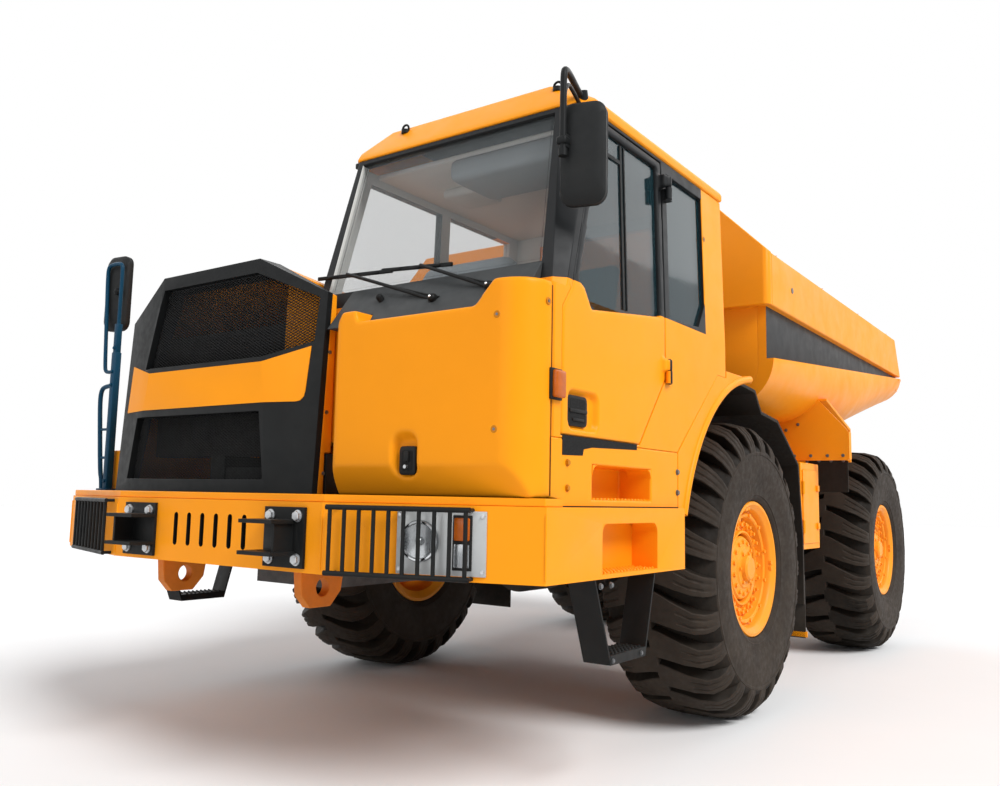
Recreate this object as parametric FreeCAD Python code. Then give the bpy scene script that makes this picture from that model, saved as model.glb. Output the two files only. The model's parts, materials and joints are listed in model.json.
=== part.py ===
"""Rigid-frame two-axle dump truck with an offset cab, in millimetres.

Frame: +X is the vehicle's left, the front faces -Y, +Z is up.  The origin lies on the
ground, at the middle of the overall length and of the overall width.
"""
import FreeCAD, Part
import math
import os

V = FreeCAD.Vector

# ---------------------------------------------------------------- driving dimensions
FRONT_OVERHANG = 2810.0      # front axle to the tips of the front brackets
WHEELBASE = 3300.0
REAR_OVERHANG = 930.0        # rear axle to the tail of the body
HALF_WIDTH = 1600.0          # cab side, fenders and body rails
MIRROR_REACH = 1770.0        # outer edge of both mirrors, from the centre plane
TYRE_RADIUS = 865.0
TYRE_WIDTH = 670.0
RIM_RADIUS = 394.0           # rim flange, a 25-inch wheel
WHEEL_X = 1280.0             # wheel centre plane
KINGPIN_X = 980.0
FRAME_HALF_WIDTH = 420.0
FRAME_BOTTOM = 1130.0
FRAME_TOP = 1430.0
RAIL_WIDTH = 110.0
BUMPER_BOTTOM = 923.0
BUMPER_TOP = 1213.0
DECK_THICKNESS = 32.0
FLOOR_Z = 1485.0             # underside of the cab
BELT_Z = 2100.0              # top of the cab's lower half
ROOF_EDGE_Z = 2945.0         # where the roof panel sits on the cab shell
ROOF_TOP_Z = 3115.0
CAB_RIGHT_X = 140.0
CAB_WALL = 50.0
ARCH_RADIUS = 1090.0
ARCH_BAND = 30.0
BODY_BOTTOM = 1860.0         # underside of the flat part of the body floor
BODY_RAIL_BOTTOM = 2505.0
BODY_RAIL_TOP = 2850.0
HEADBOARD_TOP = 3200.0
BODY_PLATE = 40.0
RUNNING_GAP = 0.3            # radial clearance of a pin or rod in its hole
SEAT_GAP = 0.3               # clearance between curved faces that meet

# ---------------------------------------------------------------- derived stations
LENGTH = FRONT_OVERHANG + WHEELBASE + REAR_OVERHANG
FRONT_AXLE_Y = FRONT_OVERHANG - LENGTH / 2
REAR_AXLE_Y = FRONT_AXLE_Y + WHEELBASE
TAIL_Y = LENGTH / 2
AXLE_Z = TYRE_RADIUS
DECK_TOP = BUMPER_TOP + DECK_THICKNESS


def fy(distance):
    """Station at a distance behind the front axle."""
    return FRONT_AXLE_Y + distance


def ry(distance):
    """Station at a distance behind the rear axle."""
    return REAR_AXLE_Y + distance


# ---------------------------------------------------------------- shape helpers
def box(x0, x1, y0, y1, z0, z1):
    return Part.makeBox(x1 - x0, y1 - y0, z1 - z0, V(x0, y0, z0))


def face_of(points):
    return Part.Face(Part.makePolygon(list(points) + [points[0]]))


def prism_x(profile, x0, x1):
    """Extrude a (y, z) outline from x0 to x1."""
    return face_of([V(x0, y, z) for y, z in profile]).extrude(V(x1 - x0, 0, 0))


def prism_y(profile, y0, y1):
    """Extrude an (x, z) outline from y0 to y1."""
    return face_of([V(x, y0, z) for x, z in profile]).extrude(V(0, y1 - y0, 0))


def prism_z(profile, z0, z1):
    """Extrude an (x, y) outline from z0 to z1."""
    return face_of([V(x, y, z0) for x, y in profile]).extrude(V(0, 0, z1 - z0))


def cylinder(radius, start, end):
    axis = end - start
    return Part.makeCylinder(radius, axis.Length, start, axis)


def cylinder_x(radius, x0, x1, y, z):
    return cylinder(radius, V(min(x0, x1), y, z), V(max(x0, x1), y, z))


def bent_tube(radius, points):
    """A round tube of straight runs with ball corners."""
    runs = [cylinder(radius, a, b) for a, b in zip(points, points[1:])]
    balls = [Part.makeSphere(radius, p) for p in points[1:-1]]
    return fuse(runs + balls)


def fuse(shapes):
    first = shapes[0]
    return first.multiFuse(shapes[1:]).removeSplitter() if len(shapes) > 1 else first


def mirrored(shape):
    return shape.mirror(V(0, 0, 0), V(1, 0, 0))


def both_sides(shape):
    return [shape, mirrored(shape)]


def edges_where(shape, test):
    return [e for e in shape.Edges if test(e)]


def upright(edge):
    a, b = edge.Vertexes[0].Point, edge.Vertexes[-1].Point
    return abs(a.x - b.x) < 0.1 and abs(a.y - b.y) < 0.1 and abs(a.z - b.z) > 1


def turned(profile, centre, axis, reference):
    """Revolve a closed (radius, along) outline about an axis line."""
    across = reference.cross(axis)
    across.normalize()
    points = [centre + across * r + axis * a for r, a in profile]
    return face_of(points).revolve(centre, axis, 360)


def save(name, shapes):
    solids = []
    for shape in shapes if isinstance(shapes, list) else [shapes]:
        solids.extend(shape.Solids)
    result = solids[0] if len(solids) == 1 else Part.makeCompound(solids)
    result.exportStep(os.path.join("parts", name + ".step"))


# ---------------------------------------------------------------- chassis
SPRING_X = FRAME_HALF_WIDTH - RAIL_WIDTH / 2
FRAME_FRONT_Y = fy(-2360)
FRAME_REAR_Y = ry(600)
HINGE_Y = ry(450)
HINGE_Z = FRAME_TOP + 20
HINGE_PIN_RADIUS = 35.0
HINGE_EAR_RADIUS = 85.0
HINGE_EAR_GAP = 8.0          # side clearance of the body's ears on the frame

# hoist cylinders: lower pivot on the frame, upper eye under the body
HOIST_X = 600.0
HOIST_FOOT_Y = fy(2300)
HOIST_FOOT_Z = 750.0
HOIST_EYE_Y = fy(3000)
HOIST_EYE_Z = 1700.0
HOIST_EYE_RADIUS = 60.0
HOIST_EYE_WIDTH = 110.0
HOIST_PIN_RADIUS = 30.0
BARREL_RADIUS = 80.0
ROD_RADIUS = 50.0
LUG_PLATE = 25.0
LUG_GAP = 6.0


def chassis_frame():
    parts = []
    for side in (-1, 1):
        outer = side * FRAME_HALF_WIDTH
        inner = side * (FRAME_HALF_WIDTH - RAIL_WIDTH)
        low, high = min(outer, inner), max(outer, inner)
        parts.append(box(low, high, FRAME_FRONT_Y, FRAME_REAR_Y, FRAME_BOTTOM, FRAME_TOP))
    # cross members: (distance behind the front axle, height above the frame's foot)
    half_gap = FRAME_HALF_WIDTH - RAIL_WIDTH
    for station, rise in ((-2350, 60), (1350, 60), (2250, 60)):
        parts.append(box(-half_gap, half_gap, fy(station), fy(station) + 120,
                         FRAME_BOTTOM + rise, FRAME_TOP - rise))
    parts.append(box(-half_gap, half_gap, FRAME_REAR_Y - 120, FRAME_REAR_Y,
                     FRAME_BOTTOM + 40, FRAME_TOP - 40))
    # bearing blocks that carry the body's hinge pin
    for side in (-1, 1):
        outer = side * FRAME_HALF_WIDTH
        inner = side * (FRAME_HALF_WIDTH - RAIL_WIDTH)
        low, high = min(outer, inner), max(outer, inner)
        parts.append(box(low, high, HINGE_Y - 90, HINGE_Y + 90, FRAME_TOP, HINGE_Z + 60))
    # hoist feet: outline of a lug plate as (behind, above) its pin
    lug = [(60, -60), (-60, -60), (-190, 200), (-190, 470), (-60, 470), (-75, 100), (60, 20)]
    outline = [(HOIST_FOOT_Y + y, HOIST_FOOT_Z + z) for y, z in lug]
    inner, outer = HOIST_EYE_WIDTH / 2 + LUG_GAP, HOIST_EYE_WIDTH / 2 + LUG_GAP + LUG_PLATE
    foot = [prism_x(outline, HOIST_X - outer, HOIST_X - inner),
            prism_x(outline, HOIST_X + inner, HOIST_X + outer),
            box(FRAME_HALF_WIDTH, HOIST_X + outer, HOIST_FOOT_Y - 190, HOIST_FOOT_Y - 60,
                FRAME_BOTTOM + 30, FRAME_BOTTOM + 90)]
    parts.extend(both_sides(fuse(foot)))
    return fuse(parts + engine_mounts() + bumper_arms() + frame_pins())


def engine_mounts():
    """Blocks between the rails and the engine: (distance behind the front axle)."""
    mounts = []
    for station in (-2000, -1000):
        block = box(ENGINE["x"], FRAME_HALF_WIDTH - RAIL_WIDTH, fy(station), fy(station) + 90,
                    FRAME_BOTTOM + 60, FRAME_BOTTOM + 130)
        mounts.extend(both_sides(block))
    return mounts


def frame_pins():
    """Body hinge pins and hoist foot pins, fast in the frame."""
    ear = HINGE_EAR_GAP + EAR_WIDTH + 20
    pins = []
    for side in (-1, 1):
        inner = side * (FRAME_HALF_WIDTH - RAIL_WIDTH)
        pins.append(cylinder_x(HINGE_PIN_RADIUS, inner, side * (FRAME_HALF_WIDTH + ear),
                               HINGE_Y, HINGE_Z))
        reach = HOIST_EYE_WIDTH / 2 + LUG_GAP + LUG_PLATE
        pins.append(cylinder_x(HOIST_PIN_RADIUS, side * HOIST_X - reach,
                               side * HOIST_X + reach, HOIST_FOOT_Y, HOIST_FOOT_Z))
    return pins


SPRING_SEAT = 135.0
SPRING_PACK = 90.0
KINGPIN_RADIUS = 32.0
AXLE_TUBE_RADIUS = 115.0
AXLE_BOWL_RADIUS = 240.0
AXLE_BOWL_HALF = 170.0
YOKE_HEIGHT = 200.0          # kingpin bosses above and below the axle's centre
FRONT_TUBE_END = KINGPIN_X - 150
HUB_INNER_X = WHEEL_X - 150  # where the wheel's hub starts


def bowl(y):
    return cylinder(AXLE_BOWL_RADIUS, V(0, y - AXLE_BOWL_HALF, AXLE_Z),
                    V(0, y + AXLE_BOWL_HALF, AXLE_Z))


def front_axle():
    y = fy(0)
    parts = [cylinder_x(AXLE_TUBE_RADIUS, -FRONT_TUBE_END, FRONT_TUBE_END, y, AXLE_Z), bowl(y)]
    for side in (-1, 1):
        x0, x1 = sorted((side * (FRONT_TUBE_END - 40), side * (KINGPIN_X + 55)))
        for z0, z1 in ((YOKE_HEIGHT - 40, YOKE_HEIGHT), (-YOKE_HEIGHT, 40 - YOKE_HEIGHT)):
            parts.append(box(x0, x1, y - 70, y + 70, AXLE_Z + z0, AXLE_Z + z1))
        x0, x1 = sorted((side * (FRONT_TUBE_END - 40), side * FRONT_TUBE_END))
        parts.append(box(x0, x1, y - 70, y + 70, AXLE_Z - YOKE_HEIGHT, AXLE_Z + YOKE_HEIGHT))
        # spring seats
        seat = side * SPRING_X
        parts.append(box(seat - 60, seat + 60, y - 110, y + 110, AXLE_Z, AXLE_Z + SPRING_SEAT))
    whole = fuse(parts)
    for side in (-1, 1):
        x = side * KINGPIN_X
        whole = whole.cut(cylinder(KINGPIN_RADIUS + RUNNING_GAP, V(x, y, AXLE_Z - 300),
                                   V(x, y, AXLE_Z + 300)))
    return whole


def rear_axle():
    y = ry(0)
    end = HUB_INNER_X - SEAT_GAP
    parts = [cylinder_x(AXLE_TUBE_RADIUS, -end, end, y, AXLE_Z), bowl(y)]
    for side in (-1, 1):
        seat = side * SPRING_X
        parts.append(box(seat - 60, seat + 60, y - 110, y + 110, AXLE_Z, AXLE_Z + SPRING_SEAT))
    return fuse(parts)


def leaf_springs():
    """Leaf packs between the axles and the rails, with an eye bracket at each end."""
    packs = []
    base = AXLE_Z + SPRING_SEAT
    for y in (fy(0), ry(0)):
        # leaf: (half length, thickness from the base)
        leaves = [box(-45, 45, y - half, y + half, base + low, base + high)
                  for half, low, high in ((250, 0, 30), (420, 30, 60), (620, 60, SPRING_PACK))]
        ends = [box(-45, 45, y + s * 590 - 30, y + s * 590 + 30, base + SPRING_PACK, FRAME_BOTTOM)
                for s in (-1, 1)]
        pack = fuse(leaves + ends)
        for side in (-1, 1):
            moved = pack.copy()
            moved.translate(V(side * SPRING_X, 0, 0))
            packs.append(moved)
    return packs


ENGINE = dict(x=270, y0=fy(-2150), y1=fy(-850), z0=800, z1=1425)


def engine_block():
    return box(-ENGINE["x"], ENGINE["x"], ENGINE["y0"], ENGINE["y1"], ENGINE["z0"], ENGINE["z1"])


def drive_line():
    """Gearbox and transfer case behind the engine, with the shafts to both axles."""
    bell = box(-230, 230, ENGINE["y1"], fy(-420), 1010, 1420)
    case = box(-200, 200, fy(750), fy(1250), 760, 1300)
    shaft = cylinder(60, V(0, fy(-420), 1200), V(0, fy(750), 1200))
    front = cylinder(45, V(0, fy(AXLE_BOWL_HALF), AXLE_Z), V(0, fy(750), AXLE_Z))
    rear = cylinder(45, V(0, fy(1250), AXLE_Z), V(0, ry(-AXLE_BOWL_HALF), AXLE_Z))
    return fuse([bell, case, shaft, front, rear])


# ---------------------------------------------------------------- bumper and deck
BUMPER_FACE_Y = fy(-2667)
BUMPER_CORNER_Y = fy(-2395)
BUMPER_REAR_Y = fy(-1140)
BUMPER_FACE_HALF = 729.0
BUMPER_SIDE_X = HALF_WIDTH + 33.0
BUMPER_DEPTH = 150.0
STEP_WELL_Y = (fy(-1962), fy(-1444))
STEP_WELL_Z = (941.0, 1147.0)
STEP_WELL_DEPTH = 130.0
SLOT_WIDTH = 30.0
SLOT_PITCH = 98.0
SLOT_Z = (998.0, 1150.0)
SLOT_COUNT = 6
SLOT_DEPTH = 60.0


def front_bumper():
    d = BUMPER_DEPTH
    outer = [(-BUMPER_SIDE_X, BUMPER_REAR_Y), (-BUMPER_SIDE_X, BUMPER_CORNER_Y),
             (-BUMPER_FACE_HALF, BUMPER_FACE_Y), (BUMPER_FACE_HALF, BUMPER_FACE_Y),
             (BUMPER_SIDE_X, BUMPER_CORNER_Y), (BUMPER_SIDE_X, BUMPER_REAR_Y)]
    inner = [(BUMPER_SIDE_X - d, BUMPER_REAR_Y), (BUMPER_SIDE_X - d, BUMPER_CORNER_Y + d),
             (BUMPER_FACE_HALF, BUMPER_FACE_Y + d), (-BUMPER_FACE_HALF, BUMPER_FACE_Y + d),
             (d - BUMPER_SIDE_X, BUMPER_CORNER_Y + d), (d - BUMPER_SIDE_X, BUMPER_REAR_Y)]
    whole = prism_z(outer + inner, BUMPER_BOTTOM, BUMPER_TOP)
    cuts = []
    for side in (-1, 1):
        x0, x1 = sorted((side * (BUMPER_SIDE_X - STEP_WELL_DEPTH), side * (BUMPER_SIDE_X + 10)))
        cuts.append(box(x0, x1, *STEP_WELL_Y, *STEP_WELL_Z))
    for k in range(SLOT_COUNT):
        x = (k - (SLOT_COUNT - 1) / 2) * SLOT_PITCH
        r = SLOT_WIDTH / 2
        cuts.append(box(x - r, x + r, BUMPER_FACE_Y - 1, BUMPER_FACE_Y + SLOT_DEPTH,
                        SLOT_Z[0] + r, SLOT_Z[1] - r))
        for z in (SLOT_Z[0] + r, SLOT_Z[1] - r):
            cuts.append(cylinder(r, V(x, BUMPER_FACE_Y - 1, z),
                                 V(x, BUMPER_FACE_Y + SLOT_DEPTH, z)))
    return whole.cut(fuse(cuts))


def front_deck():
    """Plate on top of the bumper, running back under the hood and the fairing."""
    edge = BUMPER_SIDE_X - 8
    outline = [(-edge, SKIRT_REAR_Y), (-edge, BUMPER_CORNER_Y + 5),
               (-BUMPER_FACE_HALF, BUMPER_FACE_Y + 8), (BUMPER_FACE_HALF, BUMPER_FACE_Y + 8),
               (edge, BUMPER_CORNER_Y + 5), (edge, CAB_FRONT_Y + 60),
               (-FRAME_HALF_WIDTH, CAB_FRONT_Y + 60), (-FRAME_HALF_WIDTH, SKIRT_REAR_Y)]
    plate = prism_z(outline, BUMPER_TOP, DECK_TOP)
    rails = box(-FRAME_HALF_WIDTH, FRAME_HALF_WIDTH, FRAME_FRONT_Y, SKIRT_REAR_Y + 10,
                BUMPER_TOP - 10, DECK_TOP + 10)
    return plate.cut(rails)


def bumper_arms():
    """Brackets from the frame's front ends out to the bumper."""
    arm = box(FRAME_HALF_WIDTH - RAIL_WIDTH, FRAME_HALF_WIDTH,
              BUMPER_FACE_Y + BUMPER_DEPTH, FRAME_FRONT_Y, FRAME_BOTTOM, BUMPER_TOP)
    side = box(FRAME_HALF_WIDTH, BUMPER_SIDE_X - BUMPER_DEPTH, fy(-1300), fy(-1180),
               FRAME_BOTTOM, BUMPER_TOP)
    return both_sides(arm) + both_sides(side)


BRACKET_X = (394.0, 640.0)
BRACKET_Z = (940.0, 1190.0)
BRACKET_PLATE = 14.0
FLANGE_Z = (1000.0, 1130.0)
FLANGE_REACH = FRONT_OVERHANG + (BUMPER_FACE_Y - FRONT_AXLE_Y)
FLANGE_PIN_RADIUS = 16.0


def push_brackets():
    """Bolted plates on the bumper's face, each with two horizontal flanges and a web."""
    x0, x1 = BRACKET_X
    y = BUMPER_FACE_Y
    plate = box(x0, x1, y - BRACKET_PLATE, y, *BRACKET_Z)
    flanges = [box(x0 - 10, x1 - 50, y - FLANGE_REACH, y - BRACKET_PLATE, z - 8, z + 8)
               for z in FLANGE_Z]
    web = box(x1 - 80, x1 - 66, y - FLANGE_REACH + 30, y - BRACKET_PLATE, *FLANGE_Z)
    whole = fuse([plate, web] + flanges)
    pin_x = x0 + 66
    hole = cylinder(FLANGE_PIN_RADIUS, V(pin_x, y - FLANGE_REACH / 2 - 8, 900),
                    V(pin_x, y - FLANGE_REACH / 2 - 8, 1250))
    return both_sides(whole.cut(hole))


GUARD_Z = (935.0, 1195.0)
GUARD_BAR = 11.0


def lamp_corner(distance, out, z):
    """Point on the angled corner face: distance along it from its inner end."""
    dx = BUMPER_SIDE_X - BUMPER_FACE_HALF
    dy = BUMPER_CORNER_Y - BUMPER_FACE_Y
    run = math.hypot(dx, dy)
    ux, uy = dx / run, dy / run
    return V(BUMPER_FACE_HALF + ux * distance + uy * out,
             BUMPER_FACE_Y + uy * distance - ux * out, z)


LAMP_GUARD_RUN = (60.0, 640.0)
LAMP_GUARD_OUT = (34.0, 56.0)
GUARD_BARS = 10
LAMP_PLATE_RUN = (300.0, 690.0)
LAMP_PLATE_Z = (940.0, 1195.0)
LAMP_RUN = 395.0


def corner_bar(run, out, height):
    """A straight bar on the angled corner, between two distances each way."""
    foot = [lamp_corner(run[0], out[0], height[0]), lamp_corner(run[1], out[0], height[0]),
            lamp_corner(run[1], out[1], height[0]), lamp_corner(run[0], out[1], height[0])]
    return face_of(foot).extrude(V(0, 0, height[1] - height[0]))


def lamp_guards():
    """A frame of upright bars in front of each lamp plate, on four stubs."""
    start, end = LAMP_GUARD_RUN
    low, high = GUARD_Z
    near, far = LAMP_GUARD_OUT
    r = GUARD_BAR
    parts = []
    for z in GUARD_Z:
        parts.append(corner_bar((start - r, end + r), (near, far), (z - r, z + r)))
        for d in (start, end):
            parts.append(corner_bar((d - r, d + r), (0, near), (z - r, z + r)))
    for k in range(GUARD_BARS):
        d = start + (end - start) * k / (GUARD_BARS - 1)
        parts.append(corner_bar((d - r * 0.7, d + r * 0.7), (near + 4, far - 4), (low, high)))
    return both_sides(fuse(parts).cut(headlamps()[0]))


def headlamps():
    """Lamp plate with a round headlamp, on each angled corner of the bumper."""
    plate = corner_bar(LAMP_PLATE_RUN, (0, 10), LAMP_PLATE_Z)
    lamp = cylinder(85, lamp_corner(LAMP_RUN, 9, 1075), lamp_corner(LAMP_RUN, 26, 1075))
    return both_sides(fuse([plate, lamp]))


HOOK_X = 490.0
HOOK_Y = fy(-2440)
HOOK_Z = 843.0
HOOK_HALF = 25.0
HOOK_HOLE_RADIUS = 38.0
HOOK_PAD_TOP = 1195.0        # top of the pad that joins each plate to the frame


def tow_hooks():
    """Plates under the bumper, each with a round tow eye."""
    x0, x1 = HOOK_X - HOOK_HALF, HOOK_X + HOOK_HALF
    outline = [(HOOK_Y - 130, BUMPER_BOTTOM), (HOOK_Y - 120, HOOK_Z - 30),
               (HOOK_Y - 70, HOOK_Z - 85), (HOOK_Y + 50, HOOK_Z - 85),
               (HOOK_Y + 110, HOOK_Z - 20), (HOOK_Y + 170, HOOK_PAD_TOP),
               (HOOK_Y - 20, HOOK_PAD_TOP), (HOOK_Y - 20, BUMPER_BOTTOM)]
    plate = prism_x(outline, x0, x1)
    pad = box(FRAME_HALF_WIDTH, x0, HOOK_Y, HOOK_Y + 120, FRAME_BOTTOM, HOOK_PAD_TOP)
    plate = fuse([plate, pad])
    eye = cylinder_x(HOOK_HOLE_RADIUS, x0 - 5, x1 + 5, HOOK_Y, HOOK_Z)
    return both_sides(plate.cut(eye))


# ---------------------------------------------------------------- steps, skirts and fenders
HANG_STEP_Y = (fy(-2010), fy(-1444))
HANG_STEP_FOOT_Y = (fy(-1869), fy(-1546))
HANG_STEP_Z = 565.0
HANG_STEP_PLATE = 12.0
HANG_STEP_X = (BUMPER_SIDE_X - 140, BUMPER_SIDE_X - 10)
TREAD_HEIGHT = 40.0
RIGHT_STEP_SHIFT = 150.0     # how far behind the left step the right one hangs


def hanging_steps():
    """Two side plates hung under the bumper's side, with a tread between their feet."""
    x0, x1 = HANG_STEP_X
    t = HANG_STEP_PLATE
    front = [(HANG_STEP_Y[0], BUMPER_BOTTOM), (HANG_STEP_FOOT_Y[0], HANG_STEP_Z),
             (HANG_STEP_FOOT_Y[0] + t, HANG_STEP_Z), (HANG_STEP_Y[0] + t, BUMPER_BOTTOM)]
    rear = [(HANG_STEP_Y[1] - t, BUMPER_BOTTOM), (HANG_STEP_FOOT_Y[1] - t, HANG_STEP_Z),
            (HANG_STEP_FOOT_Y[1], HANG_STEP_Z), (HANG_STEP_Y[1], BUMPER_BOTTOM)]
    tread = box(x0, x1, HANG_STEP_FOOT_Y[0], HANG_STEP_FOOT_Y[1],
                HANG_STEP_Z, HANG_STEP_Z + TREAD_HEIGHT)
    left = fuse([prism_x(front, x0, x1), prism_x(rear, x0, x1), tread])
    right = mirrored(left)
    right.translate(V(0, RIGHT_STEP_SHIFT, 0))
    return [left, right]


SKIRT_REAR_Y = fy(-1140)
SKIRT_FRONT_Y = fy(-2200)     # on the right, behind the handrail
SKIRT_DEPTH = 250.0
SKIRT_WELL_Y = (fy(-1990), fy(-1443))
SKIRT_WELL_TOP = 1388.0
SKIRT_WELL_DEPTH = 170.0


def side_skirts():
    """Step boxes under the cab and opposite it, with a tread well in the outer face."""
    x0, x1 = HALF_WIDTH - SKIRT_DEPTH, HALF_WIDTH
    well = box(x1 - SKIRT_WELL_DEPTH, x1 + 10, *SKIRT_WELL_Y, DECK_TOP, SKIRT_WELL_TOP)
    left = box(x0, x1, CAB_FRONT_Y, SKIRT_REAR_Y, BUMPER_TOP, FLOOR_Z)
    right = box(x0, x1, SKIRT_FRONT_Y, SKIRT_REAR_Y, DECK_TOP, FLOOR_Z)
    return [left.cut(well).cut(front_deck()), mirrored(right.cut(well))]


FENDER_FRONT_Y = fy(-1140) + SEAT_GAP
FENDER_REAR_Y = fy(-90)
FENDER_TOP = 1975.0
FENDER_PANEL = 40.0
FENDER_INNER_X = 960.0
# the cab's underside: the point where its floor starts to rise, and where it is level again
RISE_FOOT_Y = fy(-1150)
RISE_HEAD_Y = fy(-620)
REAR_FLOOR_Z = 1935.0
CAB_REAR_Y = fy(-500)


def fenders():
    """Arch panel and liner over each front wheel."""
    outline = [(FENDER_FRONT_Y, 1180), (FENDER_FRONT_Y, FLOOR_Z - SEAT_GAP),
               (RISE_HEAD_Y, REAR_FLOOR_Z - SEAT_GAP),
               (CAB_REAR_Y + 10, REAR_FLOOR_Z - SEAT_GAP), (CAB_REAR_Y + 10, FENDER_TOP),
               (FENDER_REAR_Y, FENDER_TOP), (FENDER_REAR_Y, 1180)]
    arch = cylinder_x(ARCH_RADIUS, 0, 2000, fy(0), AXLE_Z)
    panel = prism_x(outline, HALF_WIDTH - FENDER_PANEL, HALF_WIDTH).cut(arch)
    band = cylinder_x(ARCH_RADIUS + ARCH_BAND, FENDER_INNER_X, HALF_WIDTH, fy(0), AXLE_Z).cut(arch)
    keep = box(FENDER_INNER_X - 5, HALF_WIDTH, FENDER_FRONT_Y, FENDER_REAR_Y, 1180, FENDER_TOP)
    band = band.common(keep)
    return both_sides(fuse([panel, band]))


MUDGUARD_OUTER_X = 1520.0
MUDGUARD_INNER_X = 960.0
MUDGUARD_PLATE = 22.0
FLAP_THICKNESS = 12.0


def front_mudguards():
    """Guards behind the front wheels, with a rubber flap bolted to the rear of each."""
    t = MUDGUARD_PLATE
    # (distance behind the front axle, height) along the guard's front face
    path = [(-90, 1952), (195, 1930), (305, 1805), (620, 1775), (1040, 1515), (1120, 1000),
            (1120, 560)]
    back = [(-90, 1952 + t), (203, 1930 + t), (312, 1805 + t), (628, 1775 + t), (1060, 1515 + 10),
            (1120 + t, 1004), (1120 + t, 560)]
    outline = [(fy(d), z) for d, z in path + back[::-1]]
    stay = box(FRAME_HALF_WIDTH, MUDGUARD_INNER_X, fy(1120), fy(1120) + t, 1180, 1320)
    shell = prism_x(outline, MUDGUARD_INNER_X, MUDGUARD_OUTER_X)
    y = fy(1120) + t
    flap = box(MUDGUARD_INNER_X, MUDGUARD_OUTER_X, y, y + FLAP_THICKNESS, 330, 760)
    return both_sides(fuse([shell, stay, flap]))


TOOL_BOX = dict(x0=1090.0, x1=1500.0, y0=fy(1165), y1=fy(1600), z0=930.0, z1=1545.0)


def tool_boxes():
    b = TOOL_BOX
    case = box(b["x0"], b["x1"], b["y0"], b["y1"], b["z0"], b["z1"])
    arms = box(FRAME_HALF_WIDTH, b["x0"], b["y0"] + 60, b["y0"] + 160, 1200, 1300)
    return both_sides(fuse([case, arms]))


# ---------------------------------------------------------------- hood and grille
HOOD_X = -360.0
HOOD_HALF = 775.0
HOOD_BEND_LOW = 530.0        # half width between the bends at the foot
HOOD_BEND_TOP = 385.0
HOOD_SHOULDER_Z = 2180.0
HOOD_TOP_Z = 2375.0
HOOD_FACE_Y = fy(-2500)
GRILLE_BACK_Y = (fy(-2405), fy(-2350))    # at the deck and at the hood's top
HOOD_REAR_Y = fy(-560)
HOOD_REAR_DROP = 190.0
HOOD_WALL = 30.0
COWL_GAP = 12.0


def hood_outline(drop, inset, bottom):
    """Six (x, z) corners of the hood's section."""
    half = HOOD_HALF - inset
    bend = HOOD_BEND_TOP - inset * 0.3
    return [(HOOD_X - half, bottom), (HOOD_X - half, HOOD_SHOULDER_Z - drop - inset * 0.6),
            (HOOD_X - bend, HOOD_TOP_Z - drop - inset), (HOOD_X + bend, HOOD_TOP_Z - drop - inset),
            (HOOD_X + half, HOOD_SHOULDER_Z - drop - inset * 0.6), (HOOD_X + half, bottom)]


def loft_y(first, y0, last, y1):
    wires = [Part.makePolygon([V(x, y, z) for x, z in outline + outline[:1]])
             for outline, y in ((first, y0), (last, y1))]
    return Part.makeLoft(wires, True, True)


CAB_FRONT_Y = fy(-2320)


def behind_grille():
    """What lies behind the grille's sloping back."""
    low, high = GRILLE_BACK_Y
    return prism_x([(low, DECK_TOP), (high, HOOD_TOP_Z), (HOOD_REAR_Y + 100, HOOD_TOP_Z),
                    (HOOD_REAR_Y + 100, DECK_TOP)], HOOD_X - HOOD_HALF - 10, HOOD_X + HOOD_HALF + 10)


def hood():
    start = GRILLE_BACK_Y[0]
    outer = loft_y(hood_outline(0, 0, DECK_TOP), start,
                   hood_outline(HOOD_REAR_DROP, 0, DECK_TOP), HOOD_REAR_Y).common(behind_grille())
    inner = loft_y(hood_outline(0, HOOD_WALL, DECK_TOP - 10), start - 1,
                   hood_outline(HOOD_REAR_DROP, HOOD_WALL, DECK_TOP - 10), HOOD_REAR_Y - HOOD_WALL)
    shell = outer.cut(inner)
    cab_zone = box(CAB_RIGHT_X - COWL_GAP, 2000, CAB_FRONT_Y - COWL_GAP, 2000, 0, 4000)
    wall = box(CAB_RIGHT_X - COWL_GAP - HOOD_WALL, CAB_RIGHT_X - COWL_GAP,
               CAB_FRONT_Y - COWL_GAP - HOOD_WALL, HOOD_REAR_Y, DECK_TOP, 2600).common(outer)
    front = box(CAB_RIGHT_X - COWL_GAP, HOOD_X + HOOD_HALF,
                CAB_FRONT_Y - COWL_GAP - HOOD_WALL, CAB_FRONT_Y - COWL_GAP,
                DECK_TOP, 2600).common(outer)
    rails = box(-FRAME_HALF_WIDTH - 1, FRAME_HALF_WIDTH + 1, FRAME_FRONT_Y - 10, fy(0),
                DECK_TOP - 20, FRAME_TOP + 5)
    arch = cylinder_x(ARCH_RADIUS + ARCH_BAND + SEAT_GAP, -2000, 2000, fy(0), AXLE_Z)
    return fuse([shell.cut(cab_zone), wall, front]).cut(rails).cut(arch)


def grille_body(front_shift):
    """The three facets of the grille, as a solid in front of the hood's mouth."""
    y = HOOD_FACE_Y + front_shift
    block = prism_y(hood_outline(0, 0, DECK_TOP), y - 40, GRILLE_BACK_Y[1]).cut(behind_grille())
    centre = [(-HOOD_BEND_LOW, 0, DECK_TOP), (HOOD_BEND_LOW, 0, DECK_TOP),
              (HOOD_BEND_TOP, 20, HOOD_TOP_Z)]
    side = [(HOOD_BEND_LOW, 0, DECK_TOP), (HOOD_BEND_TOP, 20, HOOD_TOP_Z),
            (HOOD_HALF, 61, DECK_TOP)]
    for table, flip in ((centre, 1), (side, 1), (side, -1)):
        a, b, c = [V(HOOD_X + flip * x, y + back, z) for x, back, z in table]
        block = block.common(cut_by_plane(block, a, b, c))
    return block


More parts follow.
